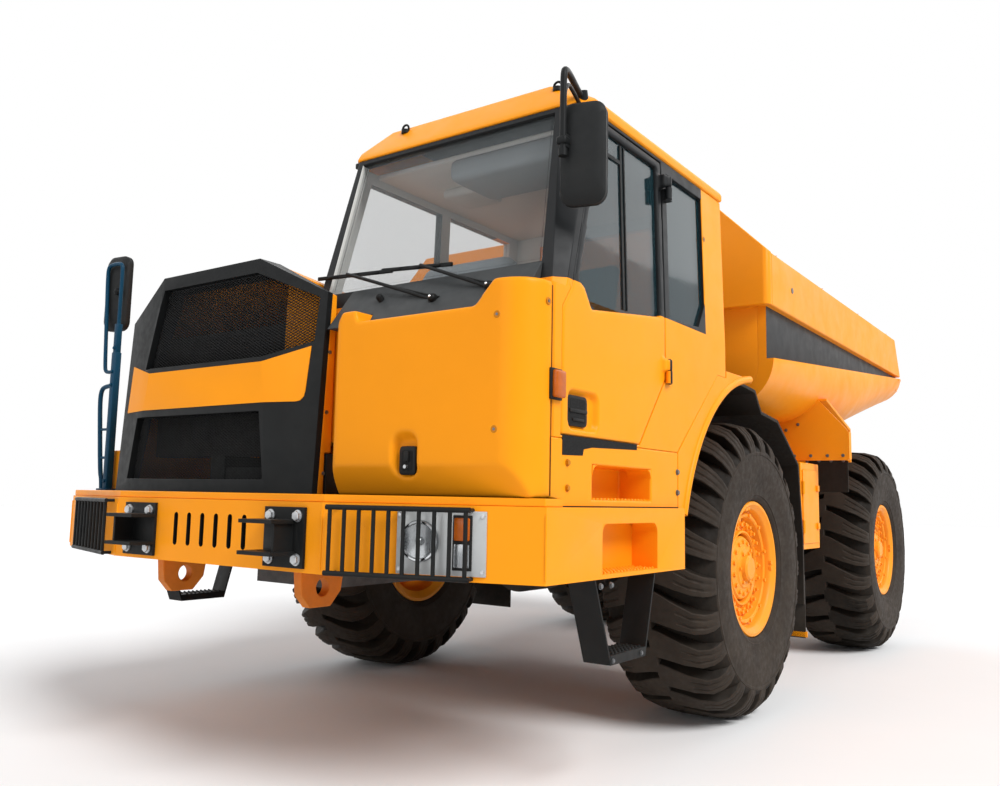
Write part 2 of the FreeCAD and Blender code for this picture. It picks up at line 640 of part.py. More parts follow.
def cut_by_plane(block, a, b, c):
    """A thick prism that lies behind the plane through a, b and c."""
    normal = (b - a).cross(c - a)
    normal.normalize()
    if normal.y < 0:
        normal = normal * -1
    centre = (a + b + c) / 3
    disc = Part.Face(Part.Wire(Part.makeCircle(3000, centre, normal)))
    return disc.extrude(normal * 1500)


UPPER_WINDOW = [(-515, 1890), (-372, 2305), (372, 2305), (735, 2158), (722, 1950), (447, 1888)]
LOWER_WINDOW = [(-615, 1310), (-560, 1632), (450, 1628), (505, 1308)]


def grille():
    frame = grille_body(0)
    for window in (UPPER_WINDOW, LOWER_WINDOW):
        hole = prism_y([(HOOD_X + x, z) for x, z in window], HOOD_FACE_Y - 100, GRILLE_BACK_Y[1] + 10)
        frame = frame.cut(hole)
    return frame


MESH_SET_BACK = 35.0
MESH_PLATE = 8.0


def grille_mesh():
    """Perforated sheets set into the two windows, as thin plates."""
    thin = grille_body(MESH_SET_BACK).cut(grille_body(MESH_SET_BACK + MESH_PLATE))
    panels = []
    for window in (UPPER_WINDOW, LOWER_WINDOW):
        hole = prism_y([(HOOD_X + x, z) for x, z in window], HOOD_FACE_Y - 100, GRILLE_BACK_Y[1] + 10)
        panels.append(thin.common(hole))
    return panels


def radiator():
    return box(HOOD_X - 600, CAB_RIGHT_X - 60, fy(-2320), fy(-2210), FRAME_TOP, 2080)


# ---------------------------------------------------------------- cab
SCREEN_FOOT_Y = fy(-2260)    # front of the cab's upper half at the belt
SCREEN_HEAD_Y = fy(-2070)    # and at the roof's edge
CAB_CENTRE_X = (CAB_RIGHT_X + HALF_WIDTH) / 2
ROOF_SIDE_INSET = 25.0       # how far the cab's sides lean in at the roof's edge
LOWER_CORNER = 20.0          # cut across the front corners, below the belt
BELT_CORNER = 45.0           # at the belt
ROOF_CORNER = 100.0          # at the roof's edge


def plan_ring(z, sides, front, rear, corner):
    """Plan outline at a height, with both front corners cut."""
    x0, x1 = sides
    return [V(x0, front + corner, z), V(x0 + corner, front, z), V(x1 - corner, front, z),
            V(x1, front + corner, z), V(x1, rear, z), V(x0, rear, z)]


def corner_inside(corner, inset):
    """The corner cut that keeps the wall's thickness across the corner."""
    return corner - inset * (2 - math.sqrt(2))


def lower_ring(z, inset):
    return plan_ring(z, (CAB_RIGHT_X + inset, HALF_WIDTH - inset), CAB_FRONT_Y + inset,
                     CAB_REAR_Y - inset, max(1.0, corner_inside(LOWER_CORNER, inset)))


def upper_ring(z, inset):
    """Outline of the cab's upper half, whose front and sides lean in towards the roof."""
    lean = (z - BELT_Z) / (ROOF_EDGE_Z - BELT_Z)
    side = inset + ROOF_SIDE_INSET * lean
    corner = BELT_CORNER + (ROOF_CORNER - BELT_CORNER) * lean
    return plan_ring(z, (CAB_RIGHT_X + side, HALF_WIDTH - side),
                     SCREEN_FOOT_Y + (SCREEN_HEAD_Y - SCREEN_FOOT_Y) * lean + inset,
                     CAB_REAR_Y - inset, max(1.0, corner_inside(corner, inset)))


def loft_rings(rings):
    return Part.makeLoft([Part.makePolygon(ring + ring[:1]) for ring in rings], True, True)


def cab_block(inset):
    """The cab's volume, inset by a wall thickness; the inner one is open to the roof."""
    belt = BELT_Z - inset
    foot = [lower_ring(FLOOR_Z + inset, inset), lower_ring(belt, inset)]
    head = [upper_ring(belt, inset), upper_ring(ROOF_EDGE_Z, inset)]
    block = fuse([loft_rings(foot), loft_rings(head)])
    low = REAR_FLOOR_Z + inset
    under = [(RISE_FOOT_Y - inset * 0.6, FLOOR_Z - 10), (RISE_FOOT_Y - inset * 0.6, FLOOR_Z + inset),
             (RISE_HEAD_Y - inset * 0.6, low), (CAB_REAR_Y + 10, low), (CAB_REAR_Y + 10, FLOOR_Z - 10)]
    return block.cut(prism_x(under, CAB_RIGHT_X - 10, HALF_WIDTH + 10))


def left_wall(extra):
    """The slab that the left wall fills, thickened inwards by extra."""
    inner, top = HALF_WIDTH - CAB_WALL - extra, ROOF_EDGE_Z + 1
    section = [(HALF_WIDTH + 1, FLOOR_Z), (HALF_WIDTH + 1, BELT_Z),
               (HALF_WIDTH - ROOF_SIDE_INSET + 1, top), (inner - ROOF_SIDE_INSET, top),
               (inner, BELT_Z), (inner, FLOOR_Z)]
    return prism_y(section, CAB_FRONT_Y - 10, CAB_REAR_Y + 10)


WINDSHIELD = dict(low=BELT_Z + 115, high=ROOF_EDGE_Z - 25, half_low=620.0, half_high=575.0)
GLASS = 12.0
DOOR_HINGE_Y = fy(-1280)
DOOR_GAP = 5.0
# outlines on the cab's sides: (distance behind the front axle, height)
DOOR_OUTLINE = [(-2240, 1500), (-2240, 2010), (-2165, 2110), (-1920, 2925), (-1285, 2925),
                (-1285, 1830), (-1560, 1500)]
DOOR_WINDOW = [(-2110, 2145), (-1885, 2885), (-1335, 2885), (-1335, 2130), (-2005, 2042),
               (-2065, 2125)]
QUARTER_WINDOW = [(-1225, 2140), (-1225, 2885), (-775, 2885), (-775, 2300), (-870, 2160)]
RIGHT_WINDOWS = [[(-2105, 2200), (-1920, 2880), (-1330, 2880), (-1330, 2200)],
                 [(-1250, 2200), (-1250, 2880), (-640, 2880), (-640, 2200)]]
REAR_WINDOW = [(-480, 2200), (-480, 2850), (480, 2850), (480, 2200)]


def outline_y(table):
    return [(fy(d), z) for d, z in table]


def grown(table, gap):
    """An outline moved outwards by a gap."""
    points = [V(a, b, 0) for a, b in table]
    count = len(points)
    area = sum(p.x * q.y - q.x * p.y for p, q in zip(points, points[1:] + points[:1]))
    turn = 1 if area > 0 else -1
    lines = []
    for p, q in zip(points, points[1:] + points[:1]):
        d = q - p
        d.normalize()
        n = V(d.y, -d.x, 0) * turn
        lines.append((p + n * gap, d))
    result = []
    for k in range(count):
        (p, d), (q, e) = lines[k - 1], lines[k]
        cross = d.x * e.y - d.y * e.x
        s = ((q.x - p.x) * e.y - (q.y - p.y) * e.x) / cross
        result.append((p.x + d.x * s, p.y + d.y * s))
    return result


def windshield_outline(gap):
    w = WINDSHIELD
    return [(CAB_CENTRE_X - w["half_low"] - gap, w["low"] - gap),
            (CAB_CENTRE_X - w["half_high"] - gap, w["high"] + gap),
            (CAB_CENTRE_X + w["half_high"] + gap, w["high"] + gap),
            (CAB_CENTRE_X + w["half_low"] + gap, w["low"] - gap)]


def side_opening(table, extra=0.0):
    """A window or door opening through the left wall."""
    return prism_x(outline_y(table), CAB_CENTRE_X, HALF_WIDTH + 50).common(left_wall(extra))


def other_openings():
    """Prisms through the front, rear and right walls."""
    cuts = [prism_y(windshield_outline(0), CAB_FRONT_Y - 50, fy(-1700)),
            prism_y([(CAB_CENTRE_X + x, z) for x, z in REAR_WINDOW],
                    CAB_REAR_Y - CAB_WALL - 20, CAB_REAR_Y + 20)]
    for window in RIGHT_WINDOWS:
        cuts.append(prism_x(outline_y(window), CAB_RIGHT_X - 50,
                            CAB_RIGHT_X + ROOF_SIDE_INSET + CAB_WALL + 30))
    return cuts


HINGE_X = HALF_WIDTH + 18
HINGE_LEVELS = (1870.0, 2790.0)
HINGE_KNUCKLE = 16.0
HINGE_PIN = 8.0
HINGE_HEIGHT = 60.0
HINGE_LEAF = 44.0


def wall_face_x(z):
    """Outer face of the cab's left wall at a height."""
    return HALF_WIDTH - ROOF_SIDE_INSET * max(0.0, (z - BELT_Z) / (ROOF_EDGE_Z - BELT_Z))


def hinge_halves(side, z0, z1):
    """Knuckles and leaves on one side of the hinge line: side -1 is the door, +1 the shell."""
    parts = []
    for level in HINGE_LEVELS:
        low, high = level + z0, level + z1
        far = DOOR_HINGE_Y + side * HINGE_LEAF
        parts.append(box(wall_face_x(low) - CAB_WALL / 2, HINGE_X, min(DOOR_HINGE_Y, far),
                         max(DOOR_HINGE_Y, far), low, high))
        parts.append(cylinder(HINGE_KNUCKLE, V(HINGE_X, DOOR_HINGE_Y, low),
                              V(HINGE_X, DOOR_HINGE_Y, high)))
    return parts


def hinge_line(radius):
    return [cylinder(radius, V(HINGE_X, DOOR_HINGE_Y, level - HINGE_HEIGHT),
                     V(HINGE_X, DOOR_HINGE_Y, level + HINGE_HEIGHT)) for level in HINGE_LEVELS]


def cab_shell():
    shell = cab_block(0).cut(cab_block(CAB_WALL))
    door = side_opening(grown(DOOR_OUTLINE, DOOR_GAP), DOOR_GAP)
    shell = shell.cut(fuse([door, side_opening(QUARTER_WINDOW)] + other_openings()))
    return fuse([shell] + hinge_halves(1, -HINGE_HEIGHT, -SEAT_GAP) + hinge_line(HINGE_PIN))


def middle_skin(thickness):
    """A skin of this thickness in the middle of the cab's wall."""
    near = (CAB_WALL - thickness) / 2
    return cab_block(near).cut(cab_block(near + thickness))


def cab_glass():
    """Windshield, and the fixed panes of the quarter, right and rear windows."""
    skin = middle_skin(GLASS)
    return [skin.common(hole) for hole in [side_opening(QUARTER_WINDOW)] + other_openings()]


def cab_door():
    whole = cab_block(0).common(side_opening(DOOR_OUTLINE))
    whole = fuse([whole.cut(side_opening(DOOR_WINDOW))] + hinge_halves(-1, 0, HINGE_HEIGHT))
    return whole.cut(fuse(hinge_line(HINGE_PIN + RUNNING_GAP)))


def door_glass():
    return middle_skin(GLASS).common(side_opening(DOOR_WINDOW))


ROOF_OVERHANG = 10.0
ROOF_BAND = 52.0
ROOF_BAND_LEAN = 28.0        # how far the visor leans back over the band's height
ROOF_CROWN = dict(side=190.0, front=115.0, rear=150.0)    # insets of the flat top
ROOF_HOLLOW = 50.0


def roof_rings(base, top, inset):
    """Foot, band and crown outlines of the roof, inset by a thickness."""
    side = ROOF_SIDE_INSET - ROOF_OVERHANG + inset
    sides = (CAB_RIGHT_X + side, HALF_WIDTH - side)
    front, rear = SCREEN_HEAD_Y - ROOF_OVERHANG + inset, CAB_REAR_Y - inset
    crown = (sides[0] + ROOF_CROWN["side"], sides[1] - ROOF_CROWN["side"])
    return [plan_ring(base, sides, front, rear, ROOF_CORNER),
            plan_ring(base + ROOF_BAND, sides, front + ROOF_BAND_LEAN, rear, ROOF_CORNER),
            plan_ring(top, crown, front + ROOF_CROWN["front"], rear - ROOF_CROWN["rear"],
                      ROOF_CORNER * 0.5)]


def cab_roof():
    """Roof panel with an upright band and sloping edges, hollow underneath."""
    outer = loft_in_steps(roof_rings(ROOF_EDGE_Z, ROOF_TOP_Z, 0))
    hollow = loft_in_steps(roof_rings(ROOF_EDGE_Z, ROOF_TOP_Z - ROOF_HOLLOW, CAB_WALL))
    return outer.cut(hollow)


def loft_in_steps(rings):
    """Straight lofts between one ring and the next."""
    return fuse([loft_rings(pair) for pair in zip(rings, rings[1:])])


FAIRING_X0 = 550.0
FAIRING_FACE_Y = fy(-2475)
FAIRING_LOW_Z = 2000.0       # top of its right part
FAIRING_HIGH_Z = 2100.0      # top of its left part, in front of the door
FAIRING_STEP_X = (1330.0, 1425.0)
FAIRING_BUMP = dict(x=(600.0, 680.0), z=2050.0)    # raised corner beside the hood
FAIRING_CORNER = 150.0
FAIRING_EDGE = 45.0
FAIRING_BEVEL = dict(height=125.0, depth=65.0)    # along the foot of its face


def cab_fairing():
    """Rounded cover in front of the cab, higher in front of the door."""
    y0, y1 = FAIRING_FACE_Y, CAB_FRONT_Y
    block = box(FAIRING_X0, HALF_WIDTH, y0, y1, DECK_TOP, FAIRING_HIGH_Z)
    corner = edges_where(block, lambda e: upright(e) and e.CenterOfMass.x > HALF_WIDTH - 1
                         and e.CenterOfMass.y < y0 + 1)
    block = block.makeFillet(FAIRING_CORNER, corner)
    other = edges_where(block, lambda e: upright(e) and e.CenterOfMass.x < FAIRING_X0 + 1
                        and e.CenterOfMass.y < y0 + 1)
    block = block.makeFillet(FAIRING_EDGE, other)
    a, b = FAIRING_STEP_X
    bump = FAIRING_BUMP
    over = prism_y([(FAIRING_X0 - 5, FAIRING_LOW_Z), (FAIRING_X0, FAIRING_LOW_Z),
                    (bump["x"][0], bump["z"]), (bump["x"][1], bump["z"]),
                    (bump["x"][1] + 10, FAIRING_LOW_Z), (a, FAIRING_LOW_Z), (b, FAIRING_HIGH_Z + 1),
                    (FAIRING_X0 - 5, FAIRING_HIGH_Z + 1)], y0 - 5, y1 + 5)
    under = prism_x([(y0 - 5, DECK_TOP - 1), (y0 + FAIRING_BEVEL["depth"], DECK_TOP - 1),
                     (y0, DECK_TOP + FAIRING_BEVEL["height"]),
                     (y0 - 5, DECK_TOP + FAIRING_BEVEL["height"])], FAIRING_X0 - 5, HALF_WIDTH + 5)
    return block.cut(fuse([over, under]))


COWL_TOP_Z = 2208.0
COWL_X = (HOOD_X + HOOD_HALF + 15, 1500.0)


def cab_cowl():
    """Sloping panel from the fairing's top up to the foot of the windshield."""
    profile = [(CAB_FRONT_Y - 85, FAIRING_LOW_Z), (SCREEN_FOOT_Y + 10, FAIRING_LOW_Z),
               (SCREEN_FOOT_Y + 40, COWL_TOP_Z), (SCREEN_FOOT_Y + 12, COWL_TOP_Z)]
    return prism_x(profile, *COWL_X).cut(cab_block(0)).cut(cab_fairing())


DASH_Y = (CAB_FRONT_Y + CAB_WALL, fy(-1930))


def dashboard():
    x0, x1 = CAB_RIGHT_X + CAB_WALL + 10, HALF_WIDTH - CAB_WALL - 40
    top = [(DASH_Y[0], 1900), (DASH_Y[0], BELT_Z - 20), (DASH_Y[1], BELT_Z - 20),
           (DASH_Y[1] + 40, 1980), (DASH_Y[1], 1900)]
    return prism_x(top, x0, x1).common(cab_block(CAB_WALL))


DRIVER_X = 930.0
SEAT_BASE_Y = (fy(-1500), fy(-1020))
CAB_FLOOR_TOP = FLOOR_Z + CAB_WALL


def seat_base():
    block = box(DRIVER_X - 200, DRIVER_X + 200, SEAT_BASE_Y[0] + 60, SEAT_BASE_Y[1] - 130,
                CAB_FLOOR_TOP, 1920)
    return block.common(cab_block(CAB_WALL))


def driver_seat():
    cushion = box(DRIVER_X - 250, DRIVER_X + 250, SEAT_BASE_Y[0] - 20, SEAT_BASE_Y[1], 1920, 2040)
    back = [(SEAT_BASE_Y[1], 1990), (SEAT_BASE_Y[1] + 110, 2600), (SEAT_BASE_Y[1] + 210, 2600),
            (SEAT_BASE_Y[1] + 120, 1990)]
    rest = prism_x(back, DRIVER_X - 240, DRIVER_X + 240)
    return fuse([cushion, rest])


WHEEL_CENTRE = V(DRIVER_X, fy(-1790), 2190)
WHEEL_TILT = V(0, 0.5, math.sqrt(0.75))
STEERING_RADIUS = 210.0


def steering_wheel():
    rim = Part.makeTorus(STEERING_RADIUS, 16, WHEEL_CENTRE, WHEEL_TILT)
    hub = cylinder(45, WHEEL_CENTRE - WHEEL_TILT * 20, WHEEL_CENTRE + WHEEL_TILT * 20)
    spokes = []
    across = V(1, 0, 0)
    up = WHEEL_TILT.cross(across)
    for angle in (0, 120, 240):
        a = math.radians(angle - 90)
        direction = across * math.cos(a) + up * math.sin(a)
        spokes.append(cylinder(10, WHEEL_CENTRE, WHEEL_CENTRE + direction * STEERING_RADIUS))
    column = cylinder(32, WHEEL_CENTRE - WHEEL_TILT * 330, WHEEL_CENTRE)
    return fuse([rim, hub, column] + spokes).cut(dashboard())


# ---------------------------------------------------------------- mirrors and handrails
MIRROR_SIZE = dict(width=195.0, depth=60.0, height=435.0)
# each mirror: side, station, height of its foot, how far its outer end is turned back
LEFT_MIRROR = dict(side=1, y=fy(-2211), z=2425.0, turn=15.0)
RIGHT_MIRROR = dict(side=-1, y=fy(-2190), z=2225.0, turn=-35.0)
POST_X, POST_Y = -1557.0, fy(-2235)
POST_RADIUS = 30.0
POST_TOP = 2620.0
TUBE_RADIUS = 15.0
ARM_X, ARM_TOP, ARM_FOOT = 1610.0, 2988.0, 2625.0
CLAMP_HALF = 22.0
ROOF_FOOT = V(1530.0, fy(-1985), ROOF_EDGE_Z + 62)    # where the arm enters the roof


def mirror_head(mirror):
    m = MIRROR_SIZE
    block = box(-m["width"] / 2, m["width"] / 2, -m["depth"] / 2, m["depth"] / 2, 0, m["height"])
    block = block.makeFillet(25, edges_where(block, upright))
    block.rotate(V(0, 0, 0), V(0, 0, 1), mirror["turn"])
    reach = block.BoundBox.XMax
    block.translate(V(mirror["side"] * (MIRROR_REACH - reach), mirror["y"], mirror["z"]))
    return block


def mirrors():
    return [mirror_head(LEFT_MIRROR), mirror_head(RIGHT_MIRROR)]


def mirror_posts():
    """Roof arm of the left mirror, and the post and handrail of the right one."""
    left, right = mirrors()
    # the arm runs down in front of the head, which its clamp holds
    front = LEFT_MIRROR["y"] - MIRROR_SIZE["depth"] / 2 - TUBE_RADIUS - 20
    arm = bent_tube(TUBE_RADIUS, [ROOF_FOOT, V(ROOF_FOOT.x + 30, ROOF_FOOT.y - 105, ARM_TOP + 20),
                                  V(ARM_X, front, ARM_TOP), V(ARM_X, front, ARM_FOOT)])
    clamp = box(ARM_X - CLAMP_HALF, ARM_X + CLAMP_HALF, front, LEFT_MIRROR["y"],
                ARM_FOOT + 30, ARM_FOOT + 30 + 2 * CLAMP_HALF)
    post = cylinder(POST_RADIUS, V(POST_X, POST_Y, DECK_TOP + SEAT_GAP), V(POST_X, POST_Y, POST_TOP))
    foot_x, loop_x = POST_X - 52, POST_X - 110
    loop = bent_tube(TUBE_RADIUS, [V(foot_x, POST_Y, DECK_TOP + SEAT_GAP),
                                   V(foot_x, POST_Y, DECK_TOP + 60), V(loop_x, POST_Y, 1790),
                                   V(loop_x + 40, POST_Y, 1865), V(POST_X, POST_Y, 1872)])
    rung = cylinder(9, V(loop_x + 8, POST_Y, 1610), V(POST_X, POST_Y, 1610))
    bracket = bent_tube(TUBE_RADIUS - 3, [V(POST_X, POST_Y, 1957), V(POST_X - 105, POST_Y, 1965),
                                          V(POST_X - 114, RIGHT_MIRROR["y"], RIGHT_MIRROR["z"] + 5)])
    stay = box(POST_X - 60, POST_X, POST_Y - 15, POST_Y + 15, POST_TOP - 160,
               POST_TOP - 160 + 2 * CLAMP_HALF)
    return [fuse([arm, clamp]).cut(cab_roof()).cut(left),
            fuse([post, loop, rung, bracket, stay]).cut(right)]


# ---------------------------------------------------------------- wheels and knuckles
RIM_HALF = 290.0
RIM_FLANGE = 28.0
BEAD_DEPTH = 45.0        # from the rim flange down to the bead seat
BARREL_WALL = 25.0


def tyre(side, y):
    """Tyre with a rounded section, sitting on its rim."""
    half = TYRE_WIDTH / 2
    bead = RIM_RADIUS - BEAD_DEPTH
    seat = RIM_HALF - RIM_FLANGE - SEAT_GAP
    profile = [(bead + SEAT_GAP, -seat), (RIM_RADIUS + SEAT_GAP, -seat), (RIM_RADIUS + 6, -RIM_HALF),
               (RIM_RADIUS + 40, -half + 25),
               (TYRE_RADIUS - 300, -half), (TYRE_RADIUS - 150, -half + 12),
               (TYRE_RADIUS - 75, -half + 38), (TYRE_RADIUS - 30, -half + 85),
               (TYRE_RADIUS - 8, -half + 165), (TYRE_RADIUS, -half + 250),
               (TYRE_RADIUS, half - 250), (TYRE_RADIUS - 8, half - 165),
               (TYRE_RADIUS - 30, half - 85), (TYRE_RADIUS - 75, half - 38),
               (TYRE_RADIUS - 150, half - 12), (TYRE_RADIUS - 300, half),
               (RIM_RADIUS + 40, half - 25), (RIM_RADIUS + 6, RIM_HALF),
               (RIM_RADIUS + SEAT_GAP, seat), (bead + SEAT_GAP, seat)]
    return turned(profile, V(side * WHEEL_X, y, AXLE_Z), V(1, 0, 0), V(0, 1, 0))


def rim(side, y):
    """Rim with its flanges, a disc with hub and a planetary cover facing outwards."""
    bead = RIM_RADIUS - BEAD_DEPTH
    seat, inner = RIM_HALF - RIM_FLANGE, bead - BARREL_WALL
    profile = [(bead, -seat), (RIM_RADIUS, -seat), (RIM_RADIUS, -RIM_HALF), (inner, -RIM_HALF),
               (inner, RIM_HALF), (RIM_RADIUS, RIM_HALF), (RIM_RADIUS, seat), (bead, seat)]
    centre = V(side * WHEEL_X, y, AXLE_Z)
    barrel = turned(profile, centre, V(1, 0, 0), V(0, 1, 0))
    disc = cylinder(bead - 20, centre + V(side * 120, 0, 0), centre + V(side * 150, 0, 0))
    hub = cylinder(185, centre + V(-side * 150, 0, 0), centre + V(side * 215, 0, 0))
    cover = cylinder(130, centre + V(side * 215, 0, 0), centre + V(side * 262, 0, 0))
    return fuse([barrel, disc, hub, cover])


def knuckle(side):
    """Steering knuckle: kingpin, bearing housing and steering arm."""
    y = fy(0)
    x = side * KINGPIN_X
    gap = 6
    body = box(x - 55, x + 55, y - 60, y + 60, AXLE_Z - YOKE_HEIGHT + 40 + gap,
               AXLE_Z + YOKE_HEIGHT - 40 - gap)
    pin = cylinder(KINGPIN_RADIUS, V(x, y, AXLE_Z - YOKE_HEIGHT - 12),
                   V(x, y, AXLE_Z + YOKE_HEIGHT + 12))
    spindle = cylinder_x(95, x, side * (HUB_INNER_X - SEAT_GAP), y, AXLE_Z)
    arm = box(min(x, x - side * 60), max(x, x - side * 60), y + 50, y + 260,
              AXLE_Z - 90, AXLE_Z - 60)
    return fuse([body, pin, spindle, arm])


# ---------------------------------------------------------------- dump body
BODY_FRONT_Y = fy(250)       # front face of the headboard
HEADBOARD = 60.0
LEDGE = 70.0                 # how far the lower front wall stands back
CHINE_FOOT_X = 1280.0
PANEL_X = HALF_WIDTH - 45.0
INNER_X = HALF_WIDTH - 100.0
HEADBOARD_TOP_HALF = 1250.0
# body stations: (y, height of the underside, height of the chine's top edge)
LOWER_FRONT_Y = BODY_FRONT_Y + LEDGE
RAMP_Y = fy(2450)
BODY_SECTIONS = [(LOWER_FRONT_Y, BODY_BOTTOM, 2165.0), (RAMP_Y, BODY_BOTTOM, 2350.0),
                 (TAIL_Y, BODY_BOTTOM + 420.0, 2502.0)]
EAR_WIDTH = 45.0


def side_section(y, bottom, crease):
    """Closed outline of a body side: rounded chine, ledge, recessed panel and inner face."""
    run = HALF_WIDTH - CHINE_FOOT_X
    rise = crease - bottom
    run_in = INNER_X - CHINE_FOOT_X
    floor = bottom + BODY_PLATE
    c = math.sqrt(0.5)
    p_foot, p_edge = V(CHINE_FOOT_X, y, bottom), V(HALF_WIDTH, y, crease)
    p_mid = V(CHINE_FOOT_X + run * c, y, crease - rise * c)
    q_foot, q_edge = V(CHINE_FOOT_X, y, floor), V(INNER_X, y, crease)
    q_mid = V(CHINE_FOOT_X + run_in * c, y, crease - (crease - floor) * c)
    top = BODY_RAIL_BOTTOM
    edges = [Part.Arc(p_foot, p_mid, p_edge).toShape(),
             Part.makeLine(p_edge, V(PANEL_X, y, crease)),
             Part.makeLine(V(PANEL_X, y, crease), V(PANEL_X, y, top)),
             Part.makeLine(V(PANEL_X, y, top), V(INNER_X, y, top)),
             Part.makeLine(V(INNER_X, y, top), q_edge),
             Part.Arc(q_edge, q_mid, q_foot).toShape(),
             Part.makeLine(q_foot, p_foot)]
    return Part.Wire(edges)


TAIL_SLANT = 360.0           # how far the sides' top stands in front of the tail


def tail_cut():
    """What lies behind the slanted rear edge of the sides."""
    outline = [(TAIL_Y - TAIL_SLANT, BODY_RAIL_TOP + 60), (TAIL_Y + 200, BODY_RAIL_TOP + 60),
               (TAIL_Y + 200, BODY_BOTTOM), (TAIL_Y + 5, BODY_BOTTOM + 420)]
    return prism_x(outline, -2000, 2000)


def body_sides():
    sections = [side_section(*row) for row in BODY_SECTIONS]
    side = Part.makeLoft(sections, True, True)
    return both_sides(side.cut(tail_cut()))


def body_rails():
    rail = box(INNER_X, HALF_WIDTH, BODY_FRONT_Y + HEADBOARD, TAIL_Y, BODY_RAIL_BOTTOM,
               BODY_RAIL_TOP)
    return both_sides(rail.cut(tail_cut()))


def body_floor():
    t = BODY_PLATE
    (y0, z0, _), (y1, z1, _), (y2, z2, _) = BODY_SECTIONS
    outline = [(y0, z0), (y1, z1), (y2, z2), (y2, z2 + t), (y1, z1 + t), (y0, z0 + t)]
    return prism_x(outline, -CHINE_FOOT_X, CHINE_FOOT_X)


def body_front_wall():
    """Headboard with cut corners, and the lower wall that closes the body's front."""
    h, w = HEADBOARD_TOP_HALF, HALF_WIDTH
    upper = prism_y([(-w, BODY_RAIL_BOTTOM), (-w, BODY_RAIL_TOP), (-h, HEADBOARD_TOP),
                     (h, HEADBOARD_TOP), (w, BODY_RAIL_TOP), (w, BODY_RAIL_BOTTOM)],
                    BODY_FRONT_Y, BODY_FRONT_Y + HEADBOARD)
    upper = upper.makeFillet(45, edges_where(upper, lambda e: upright(e)
                                             and e.CenterOfMass.y < BODY_FRONT_Y + 1))
    lower = box(-INNER_X, INNER_X, LOWER_FRONT_Y, LOWER_FRONT_Y + BODY_PLATE,
                BODY_BOTTOM + BODY_PLATE, BODY_RAIL_BOTTOM)
    ledge = box(-INNER_X, INNER_X, BODY_FRONT_Y + HEADBOARD, LOWER_FRONT_Y + BODY_PLATE,
                BODY_RAIL_BOTTOM, BODY_RAIL_BOTTOM + 30)
    wall = fuse([upper, lower, ledge])
    left = side_solid()
    wall = wall.cut(left).cut(mirrored(left))
    corner = chine_outside()
    return wall.cut(corner).cut(mirrored(corner))


def side_solid():
    return Part.makeLoft([side_section(*row) for row in BODY_SECTIONS], True, True)


def chine_outside():
    """The corner outside the body's inner chine at the front wall, to trim the wall."""
    y0 = LOWER_FRONT_Y
    run_in = INNER_X - CHINE_FOOT_X
    floor, crease = BODY_BOTTOM + BODY_PLATE, BODY_SECTIONS[0][2]
    c = math.sqrt(0.5)
    foot, edge = V(CHINE_FOOT_X, y0 - 5, floor), V(INNER_X, y0 - 5, crease)
    mid = V(CHINE_FOOT_X + run_in * c, y0 - 5, crease - (crease - floor) * c)
    out, low = V(INNER_X, y0 - 5, floor), V(INNER_X + 5, y0 - 5, crease)
    wire = Part.Wire([Part.Arc(foot, mid, edge).toShape(), Part.makeLine(edge, out),
                      Part.makeLine(out, foot)])
    return Part.Face(wire).extrude(V(0, BODY_PLATE + 10, 0))


BEARER_X = (320.0, 410.0)
BEARER_FOOT = FRAME_TOP + 12


def body_bearers():
    """Beams under the floor that rest on the frame, with hinge ears and hoist lugs."""
    (y0, z0, _), (y1, z1, _), (y2, z2, _) = BODY_SECTIONS
    slope = (z2 - z1) / (y2 - y1)
    end = HINGE_Y - 125
    z_end = z1 + slope * (end - y1)
    parts = []
    beam = prism_x([(y0 + 60, BEARER_FOOT), (end, BEARER_FOOT), (end, z_end), (y1, z1),
                    (y0 + 60, z0)], *BEARER_X)
    parts.append(beam)
    # hinge ear outside the rail, joined to the floor
    ear_x = FRAME_HALF_WIDTH + HINGE_EAR_GAP
    z_ear = z1 + slope * (HINGE_Y - y1)
    tall = prism_x([(HINGE_Y - 260, z1 + slope * (HINGE_Y - 260 - y1)), (HINGE_Y - 80, HINGE_Z - 40),
                    (HINGE_Y + 80, HINGE_Z - 40), (HINGE_Y + 160, z1 + slope * (HINGE_Y + 160 - y1))],
                   ear_x, ear_x + EAR_WIDTH)
    round_end = cylinder_x(HINGE_EAR_RADIUS, ear_x, ear_x + EAR_WIDTH, HINGE_Y, HINGE_Z)
    ear = fuse([tall, round_end]).cut(cylinder_x(HINGE_PIN_RADIUS + RUNNING_GAP, ear_x - 5,
                                                 ear_x + EAR_WIDTH + 5, HINGE_Y, HINGE_Z))
    parts.append(ear)
    # hoist lugs on both sides of the rod's eye
    for offset in (-1, 1):
        face = HOIST_X + offset * (HOIST_EYE_WIDTH / 2 + LUG_GAP)
        far = face + offset * LUG_PLATE
        y_a, y_b = HOIST_EYE_Y - 110, HOIST_EYE_Y + 110
        parts.append(prism_x([(y_a, z1 + slope * (y_a - y1)), (HOIST_EYE_Y - 60, HOIST_EYE_Z - 60),
                              (HOIST_EYE_Y + 60, HOIST_EYE_Z - 60), (y_b, z1 + slope * (y_b - y1))],
                             min(face, far), max(face, far)))
    # cross beams under the floor: (distance behind the front axle)
    cross = []
    for station in (700, 1250, 1800, 2350):
        y = fy(station)
        cross.append(box(-1140, 1140, y, y + 90, BODY_BOTTOM - 100, BODY_BOTTOM))
    left = fuse(parts)
    return fuse([left, mirrored(left)] + cross)


GUARD_INNER_X = 1150.0
GUARD_PLATE = 20.0


